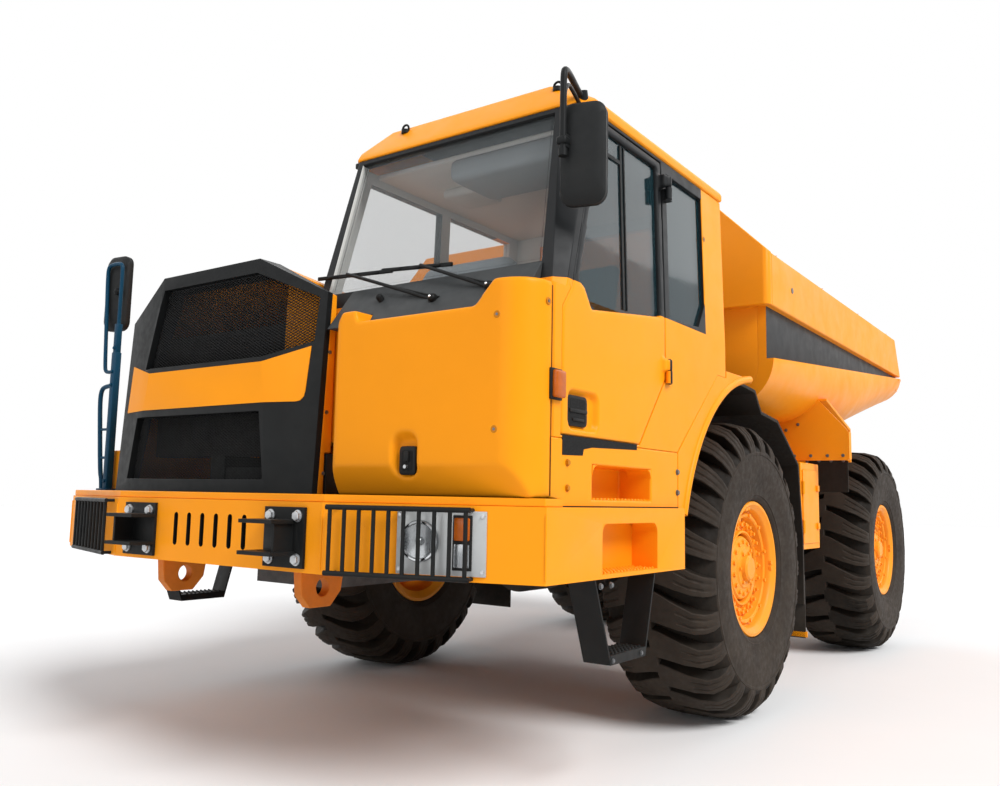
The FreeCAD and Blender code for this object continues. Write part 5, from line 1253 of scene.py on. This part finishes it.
class TRUCK_OT_cab(Operator):
    """Cab shell, door, roof, fairing, cowl and glass."""
    bl_idname = "truck.cab"
    bl_label = "Cab"

    def execute(self, context):
        sizes = settings("truck_panels")
        cuts = [((0, 0, WINDOW_SILL), Z), ((0, QUARTER_REAR, 0), Y)]
        softened("cab_shell", ("paint", "gloss", "lining"), 0.0045, 2,
                 planes=cuts, tone=cab_tone, long_edges=0.05)
        moulded("cab_door", ("paint", "gloss", "lining"), sizes.skin * 0.85, 3,
                planes=cuts[:1], press=self.handle_pocket(), tone=door_tone)
        softened("cab_roof", ("paint", "gloss"), 0.014, 3, long_edges=0.06,
                 tone=lambda c, n: int(n.z < -0.98))
        moulded("cab_fairing", "paint", sizes.skin, 9, [self.latch_pocket()])
        softened("cab_cowl", "cowl", 0.005, 2)
        windshield_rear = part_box("cab_glass")[0].y + 0.20
        softened("cab_glass", ("clear_glass", "windshield", "side_glass"), 0.0,
                 tone=lambda c, n: 2 if c.x > 1.5 else
                 int(c.y < windshield_rear and c.x < 1.5))
        softened("door_glass", "side_glass", 0.0)
        self.door_handle()
        self.latch()
        self.fairing_fittings()
        self.roof_fittings()
        self.glazing_bars()
        return {"FINISHED"}

    def handle_pocket(self):
        """A rule for how far the door's skin is pressed in around its handle."""
        middle_y, middle_z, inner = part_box("cab_door")[0].y + 0.1725, 1.604, 1.575
        half_y, half_z, corner, wall, depth = 0.128, 0.086, 0.045, 0.020, 0.026

        def press(spot):
            if spot.x < inner:
                return Vector()
            beyond_y = abs(spot.y - middle_y) - half_y + corner
            beyond_z = abs(spot.z - middle_z) - half_z + corner
            inside = corner - math.hypot(max(beyond_y, 0.0), max(beyond_z, 0.0)) \
                - min(max(beyond_y, beyond_z), 0.0)
            share = min(1.0, max(0.0, inside / wall))
            return Vector((-depth * share * share * (3 - 2 * share), 0, 0))
        return press

    def door_handle(self):
        """Flap with two cells in near-black painted shade, and the pull that stands out of it."""
        bm = bmesh.new()
        spot = Vector((1.580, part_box("cab_door")[0].y + 0.1425, HANDLE_Z))
        outline = [spot + Vector((-0.012, y, z)) for y, z in rounded(0.160, 0.125, 0.022)]
        swell(bm, outline, [((0.018, 0, 0), 1.0), ((0.003, 0, 0), 0.94)])
        for z in (-0.029, 0.029):
            cell = [spot + Vector((0.0092, y, z + dz)) for y, dz in rounded(0.125, 0.042, 0.010)]
            swell(bm, cell, [((0.0006, 0, 0), 1.0)], 1)
        block(bm, spot + Vector((0.006, -0.070, -0.008)), spot + Vector((0.016, 0.070, 0.008)),
              0.004)
        block(bm, spot + Vector((0.008, -0.045, -0.042)), spot + Vector((0.015, 0.045, -0.030)),
              0.003)
        piece("door_handle", bm, "left_cab_door", ("grained", "void"), 35)

    def latch_pocket(self):
        """Cutter for the recess over the fairing's latch."""
        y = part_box("cab_fairing")[0].y - 0.01
        bm = bmesh.new()
        outline = [(0.985 + x, y, 1.415 + z) for x, z in rounded(0.135, 0.185, 0.045)]
        swell(bm, outline, [((0, 0.012, 0), 1.0), ((0, 0.045, -0.012), 0.80)])
        return bm

    def latch(self):
        """The fairing's latch in its recess: a plate, a cell in near-black painted shade, a pull
        and a lock.
        """
        bm = bmesh.new()
        x, y, z = 0.992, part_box("cab_fairing")[0].y + 0.046, 1.390
        outline = [(x + a, y, z + b) for a, b in rounded(0.088, 0.118, 0.016)]
        swell(bm, outline, [((0, -0.026, 0), 1.0), ((0, -0.003, 0), 0.93)])
        cell = [(x + a, y - 0.0295, z + b) for a, b in rounded(0.058, 0.082, 0.010)]
        swell(bm, cell, [((0, -0.0008, 0), 1.0)], 1)
        block(bm, (0.980, y - 0.040, 1.384), (1.004, y - 0.026, 1.428), 0.005)
        rod(bm, (x, y - 0.044, 1.364), (x, y - 0.026, 1.364), 0.008, 12, 1.0, 2)
        piece("fairing_latch", bm, "chassis", ("grained", "void", "steel"), 35)

    def fairing_fittings(self):
        """Screw cups, the seam around the fairing, the black sill seal under the door that also
        stands as painted shadow, and the side marker.
        """
        low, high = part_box("cab_fairing")
        bm = bmesh.new()
        for x, z in ((1.444, 1.952), (1.441, 1.505)):
            self.cup(bm, Vector((x, low.y, z)), -Y)
        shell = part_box("cab_shell")[1].x - 0.034
        for y, z in ((-3.056, 2.011), (-1.468, 2.665), (-1.400, 2.405)):
            self.cup(bm, Vector((shell if z < 2.1 else shell - 0.016, y, z)), X)
        piece("screw_cups", bm, "chassis", ("shade_paint", "dark_steel"), 30)
        bm = bmesh.new()
        block(bm, (high.x - 0.001, -3.0318, low.z + 0.01),
              (high.x + 0.0012, -3.0282, high.z - 0.02))
        # sill seal under the door in near black, darkened as the painted shadow of the door's
        # lower edge
        sill_and_shadow = ((-2.945, 1.4965), (-2.945, 1.417), (-2.785, 1.422), (-2.777, 1.448),
                (-2.708, 1.459), (-2.300, 1.472), (-2.300, 1.4965))
        plate(bm, [(1.595, y, z) for y, z in sill_and_shadow], X * 0.0066)
        piece("fairing_seam_and_door_shadow", bm, "chassis", "void", 30)
        bm = bmesh.new()
        y0, y1, z0, z1 = -3.046, -2.962, 1.628, 1.752
        block(bm, (1.598, y0, z0), (1.610, y1, z1), 0.004, 2, 0)
        block(bm, (1.606, y0 + 0.008, z0 + 0.008), (1.632, y1 - 0.004, z1 - 0.008), 0.009, 3, 1)
        piece("side_marker", bm, "chassis", ("grained", "amber"), 35)

    def cup(self, bm, spot, out):
        """Cup washer with a screw's head in it."""
        lathe(bm, [(0.0, -0.002), (0.006, -0.001), (0.0075, 0.0008), (0.011, 0.0015),
                   (0.0145, 0.0012), (0.016, -0.001)], spot, out, 20)
        rod(bm, spot - out * 0.001, spot + out * 0.0018, 0.0062, 6, 1, 1)

    def roof_fittings(self):
        """Two lifting eyes, and black seals under the roof's front and side edges that also paint
        the shadow line under the roof.
        """
        low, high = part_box("cab_roof")
        bm = bmesh.new()
        tree = surface_of("cab_roof")
        for x in (0.50, 1.405):
            spot = tree.ray_cast(Vector((x, -2.700, high.z + 1)), -Z)[0]
            rod(bm, spot - Z * 0.01, spot + Z * 0.010, 0.022, 20)
            tube(bm, [spot + Vector((0.020 * math.cos(a), 0, 0.016 + 0.020 * math.sin(a)))
                      for a in [math.radians(-50 + 14 * k) for k in range(21)]], 0.0055)
        piece("roof_eyes", bm, "chassis", "black", 40)
        # black seals, which also stand as the painted shadow line under the roof's edges
        bm = bmesh.new()
        block(bm, (low.x + 0.075, low.y + 0.012, low.z - 0.030),
              (high.x - 0.075, low.y + 0.060, low.z), 0.006)
        for x in (high.x - 0.040, low.x + 0.040):
            block(bm, (x - 0.010, low.y + 0.16, low.z - 0.020), (x + 0.010, -1.50, low.z), 0.004)
        piece("roof_seals_and_shadow_line", bm, "chassis", "grained", 40)

    def glazing_bars(self):
        """Frame of the door's sliding pane and the windshield's black rim."""
        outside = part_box("door_glass")[1].x + 0.2
        bm = bmesh.new()
        tree = surface_of("door_glass")
        for outline in ([(-2.410, 2.10), (-2.392, 2.10), (-2.392, 2.875), (-2.410, 2.875)],
                        [(-2.580, 2.782), (-2.410, 2.782), (-2.410, 2.800), (-2.575, 2.800)],
                        [(-2.374, 2.10), (-2.364, 2.10), (-2.364, 2.875), (-2.374, 2.875)]):
            lay_on(bm, tree, [(outside, y, z) for y, z in outline], -X, 0.007)
        piece("door_pane_bars", bm, "left_cab_door", "grained", 35)
        bm = bmesh.new()
        tree = surface_of("cab_glass")
        windshield = [(0.27, 2.232), (0.315, 2.905), (1.425, 2.905), (1.47, 2.232)]
        lay_on(bm, tree, [(x, -3.4, z) for x, z in windshield], Y, 0.0012, margin=0.030)
        piece("windshield_rim", bm, "chassis", "gloss", 35)


# ---------------------------------------------------------------- wipers and mirrors
# each wiper's pivot and joint, then its blade's tip and heel
WIPERS = (((1.005, -3.040, 2.085), (0.393, -2.945, 2.292), (0.175, -2.936, 2.303),
           (0.674, -2.944, 2.277)),
          ((1.300, -3.034, 2.105), (0.857, -2.948, 2.272), (0.609, -2.943, 2.287),
           (1.033, -2.950, 2.258)))
NOZZLE = Vector((0.672, -3.030, 2.140))
# each mirror's place, turn in degrees and height
MIRRORS = ((1.668, -2.921, 2.6425, 15, 0.430), (-1.6735, -2.900, 2.460, 8, 0.465))


class TRUCK_OT_fittings(Operator):
    """Wipers, washer nozzle, mirrors, mirror arm, post and handrail."""
    bl_idname = "truck.fittings"
    bl_label = "Wipers and mirrors"

    def execute(self, context):
        bm = bmesh.new()
        for places in WIPERS:
            self.wiper(bm, *map(Vector, places))
        rod(bm, (0.680, -3.010, 2.115), NOZZLE, 0.016, 14)
        ball(bm, NOZZLE, 0.016)
        piece("wipers", bm, "chassis", ("black", "chrome"), 40)
        self.mirror_heads()
        self.mirror_rails()
        return {"FINISHED"}

    def wiper(self, bm, pivot, joint, tip, heel):
        """Spindle, two arms and a blade in its clips."""
        lift = Vector((0, -0.018, 0.006))
        rod(bm, pivot + Vector((0, 0.03, -0.01)), pivot + Vector((0, -0.014, 0.006)), 0.024, 18)
        ball(bm, pivot + Vector((0, -0.016, 0.008)), 0.020)
        ball(bm, pivot + Vector((0, -0.032, 0.012)), 0.007, 1)
        tube(bm, [pivot, pivot + (joint - pivot) * 0.25 + lift, joint + lift], 0.0085)
        tube(bm, [pivot + Vector((0.03, -0.004, 0.01)), pivot + (joint - pivot) * 0.4 + lift,
                  joint + lift * 0.8], 0.005)
        along = (heel - tip).normalized()
        block(bm, (-0.5, -0.006, -0.009), (0.5, 0.006, 0.009), 0.002, 1,
              place=Matrix.Translation((tip + heel) / 2 + lift * 0.4)
              @ along.to_track_quat("X", "Z").to_matrix().to_4x4()
              @ Matrix.Diagonal(((heel - tip).length, 1, 1, 1)))
        for share in (0.22, 0.5, 0.78):
            spot = tip.lerp(heel, share)
            block(bm, spot + Vector((-0.03, -0.020, -0.006)), spot + Vector((0.03, -0.006, 0.008)),
                  0.004)

    def mirror_heads(self):
        """Shell, rim and glass of both mirrors."""
        heads = bmesh.new()
        for x, y, z, turn, tall in MIRRORS:
            place = Matrix.Translation((x, y, z)) @ Matrix.Rotation(math.radians(turn), 4, "Z")

            def at(points, depth):
                return [place @ Vector((a, depth, b)) for a, b in points]

            back = place.to_3x3() @ -Y
            shell = at(rounded(0.190, tall, 0.052, 6), 0.026)
            swell(heads, shell, [(back * 0.012, 1.012), (back * 0.014, 1.0), (back * 0.012, 0.93),
                                 (back * 0.009, 0.82), (back * 0.006, 0.62)])
            rim = at(rounded(0.194, tall + 0.004, 0.054, 6), 0.0285)
            swell(heads, rim, [(back * 0.009, 1.0)])
            glass = at(rounded(0.170, tall - 0.022, 0.044, 6), 0.0285)
            swell(heads, glass, [(-back * 0.001, 1.0)], 1)
        made = piece("mirror_heads", heads, "chassis", ("grained", "mirror"), 28)
        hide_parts("mirrors")

    def mirror_rails(self):
        """Arm over the roof for the left mirror; post, handrail and bracket for the right."""
        bm = bmesh.new()
        arm = [(1.530, -2.690, 3.000), (1.535, -2.740, 3.014), (1.560, -2.820, 3.016),
               (1.596, -2.930, 3.010), (1.612, -2.982, 2.992), (1.612, -2.986, 2.94),
               (1.612, -2.986, 2.78), (1.612, -2.986, 2.635)]
        tube(bm, arm, 0.0145)
        tube(bm, [(x - 0.004, y + 0.012, z - 0.045) for x, y, z in arm[:4]]
             + [(1.604, -2.968, 2.90), (1.606, -2.972, 2.78)], 0.009)
        rod(bm, (1.530, -2.688, 2.985), (1.530, -2.700, 3.030), 0.026, 20)
        block(bm, (1.588, -3.006, 2.668), (1.634, -2.955, 2.702), 0.010, 3)
        block(bm, (1.592, -2.990, 2.655), (1.630, -2.940, 2.715), 0.008, 2)
        rod(bm, (1.612, -2.986, 2.62), (1.612, -2.986, 2.65), 0.019, 16)
        x, y, deck = -1.557, -2.945, DECK_Z    # the right mirror's post
        for half, foot, top, edge, segments in ((0.021, deck, 2.075, 0.005, 2),
                                                (0.045, deck, deck + 0.012, 0.003, 1),
                                                (0.017, 2.06, 2.250, 0.004, 2)):
            block(bm, (x - half, y - half, foot), (x + half, y + half, top), edge, segments, 1)
        tube(bm, [(x - 0.060, y, deck), (x - 0.066, y, deck + 0.07), (x - 0.086, y, 1.35),
                  (x - 0.128, y, 1.66), (x - 0.144, y, 1.80), (x - 0.130, y, 1.862),
                  (x - 0.070, y, 1.874), (x, y, 1.876)], 0.0135, 1)
        for z in (1.44, 1.61):
            rod(bm, (x - 0.066 - (z - deck) * 0.15, y, z), (x, y, z), 0.008, 12, 1, 1)
        tube(bm, [(x, y, 1.957), (x - 0.070, y, 1.957), (x - 0.108, y, 1.966),
                  (x - 0.117, y, 2.010), (x - 0.125, y, 2.12), (x - 0.148, y, 2.42),
                  (x - 0.160, y, 2.585), (x - 0.150, y, 2.625), (x - 0.110, y, 2.634),
                  (x - 0.040, y, 2.632), (x - 0.008, y, 2.622), (x, y, 2.590),
                  (x, y, 2.42), (x, y, 2.24)], 0.0115, 1)
        ball(bm, (x - 0.060, y + 0.012, 2.46), 0.022)
        rod(bm, (x, y, 2.46), (x - 0.10, y + 0.03, 2.46), 0.010, 12)
        for z in (1.30, 1.957, 1.876, 2.10):
            bolt(bm, (x, y - (0.021 if z < 2.07 else 0.017), z), -Y, 0.009, 1)
        made = piece("mirror_rails", bm, "chassis", ("black", "rail"), 40)
        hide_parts("mirror_posts")


# ---------------------------------------------------------------- inside the cab
class TRUCK_OT_interior(Operator):
    """Dashboard, steering wheel, ceiling, console and floor mat."""
    bl_idname = "truck.interior"
    bl_label = "Cab interior"

    def execute(self, context):
        softened("dashboard", "trim", 0.030, 3)
        low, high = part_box("dashboard")
        bm = bmesh.new()

        def narrowed(p):
            """Draws the hood's top in from its sides and its front."""
            if p.z < high.z:
                return p
            return Vector((p.x + (0.05 if p.x < 0.9 else -0.05),
                           p.y + (0.14 if p.y < -2.8 else 0.0), p.z))

        block(bm, (0.60, low.y + 0.14, high.z - 0.04), (1.20, high.y + 0.01, high.z + 0.275),
              0.050, 4, 0, shape=narrowed)
        for k in range(3):
            rod(bm, (0.78 + 0.12 * k, high.y - 0.03, high.z + 0.155),
                (0.78 + 0.12 * k, high.y + 0.014, high.z + 0.150), 0.045, 24, 1.0, 1)
        for k in range(8):
            spot = Vector((0.30 + 0.055 * k, high.y - 0.004, high.z - 0.05))
            block(bm, spot, spot + Vector((0.034, 0.010, 0.024)), 0.003, 2, 1)
        piece("instrument_hood", bm, "chassis", ("trim", "grained"), 35)
        self.steering_wheel()
        self.ceiling()
        self.floor_parts()
        return {"FINISHED"}

    def steering_wheel(self):
        """Rim, hub, three spokes and the column."""
        bm = bmesh.new()
        centre, tilt = Vector((0.930, -2.500, 2.190)), Vector((0, 0.5, 0.866)).normalized()
        radius, tube_radius = 0.210, 0.0155
        ring = [(radius + tube_radius * math.cos(a), tube_radius * math.sin(a))
                for a in [math.tau * k / 10 for k in range(10)]]
        lathe(bm, ring, centre, tilt, 48, True)
        lathe(bm, [(0.0, 0.012), (0.045, 0.010), (0.062, -0.004), (0.060, -0.035), (0.0, -0.045)],
              centre, tilt, 28)
        up = tilt.cross(X)
        for turn in (-20, 200, 90):
            away = X * math.cos(math.radians(turn)) + up * math.sin(math.radians(turn))
            tube(bm, [centre - tilt * 0.018, centre - tilt * 0.02 + away * 0.09,
                      centre + away * (radius - 0.004)], 0.013)
        rod(bm, centre - tilt * 0.03, centre - tilt * 0.330, 0.034, 20)
        made = piece("steering_wheel_rim", bm, "chassis", "grained", 40)
        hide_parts("steering_wheel")

    def ceiling(self):
        """Roof lining, air duct and lamp."""
        bm = bmesh.new()
        block(bm, (0.22, -2.60, 2.912), (1.52, -1.27, 2.942), 0.012, 2)
        block(bm, (0.72, -2.62, 2.80), (1.46, -2.25, 2.915), 0.035, 3, 1)
        block(bm, (0.42, -2.30, 2.862), (0.66, -2.06, 2.914), 0.020, 3, 0)
        piece("ceiling_panels", bm, "chassis", ("lining", "trim"), 35)

    def floor_parts(self):
        """Ribbed mat, pedals and the driver's right console with its levers."""
        bm = bmesh.new()
        floor = 1.5365           # just above the cab's floor
        block(bm, (0.30, -2.60, floor), (1.46, -1.90, floor + 0.008), 0.003)
        for k in range(26):
            x = 0.33 + 0.0435 * k
            block(bm, (x, -2.56, floor + 0.007), (x + 0.016, -1.94, floor + 0.011))
        for x in (0.80, 1.02):
            block(bm, (x, -2.58, floor + 0.05), (x + 0.09, -2.56, floor + 0.22), 0.006, 2, 1)
            rod(bm, (x + 0.045, -2.575, floor + 0.14), (x + 0.045, -2.60, floor + 0.02), 0.012, 12,
                1.0, 1)
        block(bm, (0.36, -2.30, floor), (0.60, -1.90, floor + 0.44), 0.04, 3, 2)
        for y, top in ((-2.20, 0.62), (-2.08, 0.58)):
            tube(bm, [(0.48, y, floor + 0.42), (0.48, y - 0.01, floor + 0.5),
                      (0.485, y - 0.03, floor + top)], 0.009, 1)
            ball(bm, (0.485, y - 0.03, floor + top + 0.015), 0.024, 1, 16)
        piece("cab_floor_parts", bm, "chassis", ("floor_mat", "grained", "trim"), 35)


# ---------------------------------------------------------------- seat
SEAT_CELL, SEAT_SWELL = 0.009, 0.022   # cell of a pad's skin, and the most it may swell
PRESSURE, CLOTH_FRAMES = 4.0, 20
BACK_FOOT, BACK_HEIGHT = 1.99, 0.60    # where the back starts to lean, and over what height
CHANNELS, CHANNEL_DEPTH, CHANNEL_WIDTH = (0.24, 0.76), 0.009, 0.022


class TRUCK_OT_seat(Operator):
    """Padded cushion and back of the driver's seat."""
    bl_idname = "truck.seat"
    bl_label = "Driver's seat"

    def execute(self, context):
        cushion = self.pad("seat_cushion", (0.696, -2.214, 1.934), (1.164, -1.746, 2.022))

        def tilted(p):
            share = (p.z - BACK_FOOT) / BACK_HEIGHT
            return Vector((p.x, p.y + 0.165 * share * 0.62, p.z))

        back = self.pad("seat_back", (0.706, -1.742, 2.020), (1.154, -1.650, 2.572), tilted)
        for pad in (cushion, back):
            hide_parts("driver_seat")
        self.fittings()
        return {"FINISHED"}

    def pad(self, name, low, high, lean=None):
        """Closed form blown up as cloth and held near its start, with one subdivision."""
        bm = bmesh.new()
        block(bm, low, high, 0.040, 3, shape=lean)
        made = in_scene(name, mesh_from(bm, name))
        remesh = made.modifiers.new("Even", "REMESH")
        remesh.mode, remesh.voxel_size = "VOXEL", SEAT_CELL
        self.apply(made)
        self.inflate(made)
        for vert in made.data.vertices:
            vert.co = self.tufted(vert.co, Vector(low), Vector(high), lean)
        made.data.materials.append(FINISH["seat_cloth"])
        made.data.shade_smooth()
        round_off = made.modifiers.new("Smooth", "SUBSURF")
        round_off.levels = round_off.render_levels = 1
        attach(made, "chassis")
        return made

    def tufted(self, p, low, high, lean):
        """Two sewn channels along the pad, pulled in from its face."""
        across = (p.x - low.x) / (high.x - low.x)
        dip = 0.0
        for channel in CHANNELS:
            dip += CHANNEL_DEPTH * math.exp(-((across - channel) / CHANNEL_WIDTH) ** 2)
        if lean:
            middle = (low.y + high.y) / 2 + 0.10 * (p.z - BACK_FOOT) / BACK_HEIGHT
            return p + Vector((0, dip if p.y < middle else 0.0, 0))
        return p - Vector((0, 0, dip if p.z > (low.z + high.z) / 2 else 0.0))

    def apply(self, made):
        """Turn a piece's modifiers into its mesh."""
        graph = bpy.context.evaluated_depsgraph_get()
        done = bpy.data.meshes.new_from_object(made.evaluated_get(graph))
        made.modifiers.clear()
        old, made.data = made.data, done
        bpy.data.meshes.remove(old)

    def inflate(self, made):
        """Blow a piece up as cloth, and hold it near its start."""
        start = [vert.co.copy() for vert in made.data.vertices]
        cloth = made.modifiers.new("Cloth", "CLOTH")
        cloth.settings.use_pressure = True
        cloth.settings.uniform_pressure_force = PRESSURE
        cloth.settings.effector_weights.gravity = 0.0
        cloth.settings.quality = 4
        for step in range(1, CLOTH_FRAMES + 1):
            bpy.context.scene.frame_set(step)
        self.apply(made)
        bpy.context.scene.frame_set(1)
        for vert, origin in zip(made.data.vertices, start):
            moved = vert.co - origin
            if moved.length > SEAT_SWELL:
                vert.co = origin + moved.normalized() * SEAT_SWELL

    def fittings(self):
        """The recliner's covers and the belt buckle."""
        bm = bmesh.new()
        for side in (0.688, 1.172):
            block(bm, (side - 0.010, -1.80, 1.935), (side + 0.010, -1.66, 2.045), 0.008, 2)
        block(bm, (1.150, -1.90, 1.93), (1.176, -1.86, 2.06), 0.006, 2)
        piece("seat_fittings", bm, "chassis", "grained", 35)


# ---------------------------------------------------------------- dump body
class TRUCK_OT_dump_body(Operator):
    """Dump body's shell, its recessed panels, straps, wheel guards and bolts."""
    bl_idname = "truck.dump_body"
    bl_label = "Dump body"

    def execute(self, context):
        sizes = settings("truck_panels")
        panel_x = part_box("body_sides")[1].x - 0.051

        def side_tone(centre, normal):
            """The recessed panels, the inside, and the paint outside."""
            out = 1 if centre.x > 0 else -1
            if abs(abs(centre.x) - panel_x) < 0.004 and normal.x * out > 0.9:
                return 2
            return int(normal.x * out < -0.1 or (normal.z > 0.4 and abs(centre.x) < 1.45))

        softened("body_sides", ("box_paint", "bed", "panel"), 0.006, 2,
                 tone=side_tone)
        softened("body_rails", ("box_paint", "bed"), sizes.fold * 0.9, 3,
                 tone=lambda c, n: int(n.x * (1 if c.x > 0 else -1) < -0.9))
        softened("body_front_wall", ("box_paint", "bed"), 0.006, 2,
                 tone=lambda c, n: int(n.y > 0.9 or (n.z > 0.9 and c.y > -0.39)))
        softened("body_floor", ("box_paint", "bed"), 0.0, 2,
                 tone=lambda c, n: int(n.z > 0.5))
        softened("body_bearers", "box_paint", 0.006, 2)
        flap_top = min(1.625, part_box("wheel_guards")[0].z + 0.275)
        softened("wheel_guards", ("box_paint", "rubber"), 0.005, 2,
                 tone=lambda c, n: int(c.z < flap_top and c.y > 1.40
                                       and abs(abs(c.x) - 1.425) < 0.16))
        self.trim()
        self.bolts()
        self.guard_fronts()
        return {"FINISHED"}

    def trim(self):
        """Doubler straps at the tail, a round plate on the side and ribs on top of the rail."""
        bm = bmesh.new()
        tree = surface_of("body_sides", "body_rails")
        for out in (1, -1):
            outline = [(out * 2.0, y, z) for y, z in
                       ((3.300, 2.478), (3.405, 2.478), (3.470, 2.372), (3.365, 2.372))]
            lay_on(bm, tree, outline, X * -out, 0.006)
            rod(bm, (out * 1.600, 0.015, 2.681), (out * 1.6035, 0.015, 2.681), 0.020, 20, 1.0, 1)
            for y in (-0.30, 0.75, 1.80, 2.85):
                side_block(bm, out, 1.500, 1.600, (y, 2.8492), (y + 0.012, 2.8515))
        piece("body_trim", bm, "dump_body", ("box_paint", "dark_steel"), 30)

    def bolts(self):
        """Bolts along the guards' lower edges and their stiffening ribs."""
        bm = bmesh.new()
        for out in (1, -1):
            for k in range(4):
                bolt(bm, (out * (1.26 + 0.095 * k), 1.462 - 0.034, 1.60), -Y, 0.010, 1)
            side_block(bm, out, 1.578, 1.590, (1.418, 1.595), (1.4385, 1.80), 0.002, 1)
        piece("guard_bolts", bm, "dump_body", ("box_paint", "dark_steel"), 30)

    def guard_fronts(self):
        """Sheet across the front of each wheel guard, cut along the body's chine."""
        outline = ((1.170, 1.578), (1.748, 1.578), (1.748, 1.785), (1.529, 2.033),
                   (1.480, 1.962), (1.385, 1.895), (1.280, 1.873), (1.170, 1.873))
        bm = bmesh.new()
        y = 0.775                # the sheets' front
        for out in (1, -1):
            plate(bm, [(out * x, y, z) for x, z in outline], Y * 0.010)
            side_block(bm, out, 1.748, 1.756, (y, 1.578), (0.835, 1.775), 0.002, 1)
            side_block(bm, out, 1.170, 1.748, (y, 1.572), (0.820, 1.580), 0.002, 1)
            for x, z in ((1.30, 1.80), (1.39, 1.84), (1.36, 1.605), (1.48, 1.605),
                         (1.60, 1.605), (1.71, 1.605)):
                bolt(bm, (out * x, y, z), -Y, 0.009, 1)
        piece("guard_fronts", bm, "dump_body", ("box_paint", "dark_steel"), 30)


# ---------------------------------------------------------------- stage
# soft suns: (name, side that it shines from, spread in degrees, strength)
SUNS = (("key", (1.0, -0.22, 0.95), 30, 3.0), ("front", (-0.25, -1.0, 0.55), 50, 0.76),
        ("side", (-1.0, 0.3, 0.7), 50, 0.55), ("rear", (0.2, 1.0, 0.8), 50, 0.6))
CAMERA_PLACE, CAMERA_TURN = (3.429, -5.940, 1.238), (96.8147, -1.1484, 35.3268)
LENS, SENSOR = 32.089, 36.0


class TRUCK_OT_stage(Operator):
    """Floor, lights, background and camera."""
    bl_idname = "truck.stage"
    bl_label = "Stage"

    def execute(self, context):
        sizes = settings("truck_stage")
        scene = context.scene
        bm = bmesh.new()
        bmesh.ops.create_grid(bm, x_segments=2, y_segments=2, size=60.0)
        mesh = mesh_from(bm, "floor")
        mesh.materials.append(finish("floor", sizes.floor, 0.01, 0.6, (0.85, 0.95), 30.0, 0.0,
                                     specular=0.1))
        floor = in_scene("floor", mesh)
        floor.location.z = -0.002
        lamps = [self.sun(name, side, angle, power * sizes.key)
                 for name, side, angle, power in SUNS]
        self.world(scene, sizes.sky)
        self.camera(scene)
        scene.view_settings.view_transform = "Standard"
        return {"FINISHED"}

    def sun(self, name, side, spread_angle, strength):
        """A soft light that is even all over the stage and comes from one side."""
        data = bpy.data.lights.new(name, "SUN")
        data.angle, data.energy = math.radians(spread_angle), strength
        made = in_scene(name, data)
        made.location = Vector(side) * 8
        made.rotation_euler = Vector(side).to_track_quat("Z", "Y").to_euler()
        return made

    def world(self, scene, strength):
        """White behind everything, a plain level of light all around."""
        world = bpy.data.worlds.new("studio")
        scene.world = world
        world.use_nodes = True
        tree = world.node_tree
        tree.nodes.clear()
        path = add_node(tree, "ShaderNodeLightPath")
        seen = path.outputs["Is Camera Ray"]
        for ray in ("Is Transmission Ray", "Is Glossy Ray"):
            seen = add_node(tree, "ShaderNodeMath", {0: seen, 1: path.outputs[ray]},
                            operation="MAXIMUM").outputs[0]
        light = add_node(tree, "ShaderNodeBackground", {"Color": (0.93, 0.96, 1.0, 1.0),
                                                        "Strength": strength})
        white = add_node(tree, "ShaderNodeBackground", {"Color": (1, 1, 1, 1), "Strength": 1.0})
        both = add_node(tree, "ShaderNodeMixShader", {0: seen, 1: light.outputs[0],
                                                      2: white.outputs[0]})
        add_node(tree, "ShaderNodeOutputWorld", {"Surface": both.outputs[0]})

    def camera(self, scene):
        data = bpy.data.cameras.new("camera")
        data.lens, data.sensor_width = LENS, SENSOR
        made = in_scene("camera", data)
        made.location = CAMERA_PLACE
        made.rotation_euler = [math.radians(a) for a in CAMERA_TURN]
        scene.camera = made


# ---------------------------------------------------------------- add-on
class TRUCK_OT_finishes(Operator):
    """Makes every finish and gives the plain packed parts theirs."""
    bl_idname = "truck.finishes"
    bl_label = "Finishes"

    def execute(self, context):
        FINISH.clear()
        FINISH.update(make_finishes())
        for node, key in NODE_FINISHES.items():
            for holder in frame["nodes"][node].material_slots:
                holder.material = FINISH[key]
        return {"FINISHED"}


STEPS = (TRUCK_OT_finishes, TRUCK_OT_wheels, TRUCK_OT_chassis, TRUCK_OT_bumper, TRUCK_OT_lamps,
         TRUCK_OT_steps, TRUCK_OT_hood, TRUCK_OT_cab, TRUCK_OT_fittings, TRUCK_OT_interior,
         TRUCK_OT_seat, TRUCK_OT_dump_body, TRUCK_OT_stage)


class TRUCK_PT_panel(Panel):
    """Builds the truck and holds its sizes and colours."""
    bl_idname = "TRUCK_PT_panel"
    bl_label = "Dump truck"
    bl_space_type = "VIEW_3D"
    bl_region_type = "UI"
    bl_category = "Dump truck"

    def draw(self, context):
        layout = self.layout
        for step in STEPS:
            layout.operator(step.bl_idname)
        for name, group in GROUPS:
            layout.label(text=group.__doc__)
            for field in group.__annotations__:
                layout.prop(getattr(context.scene, name), field)


def register():
    for kind in [group for _, group in GROUPS] + list(STEPS) + [TRUCK_PT_panel]:
        bpy.utils.register_class(kind)
    for name, group in GROUPS:
        setattr(bpy.types.Scene, name, PointerProperty(type=group))


def unregister():
    for name, _ in GROUPS:
        delattr(bpy.types.Scene, name)
    for kind in [TRUCK_PT_panel] + list(STEPS)[::-1] + [group for _, group in GROUPS]:
        bpy.utils.unregister_class(kind)


def main():
    register()
    for step in STEPS:
        if getattr(bpy.ops.truck, step.bl_idname.split(".")[1])() != {"FINISHED"}:
            raise RuntimeError(step.bl_label + " did not finish")


if __name__ == "__main__":
    main()
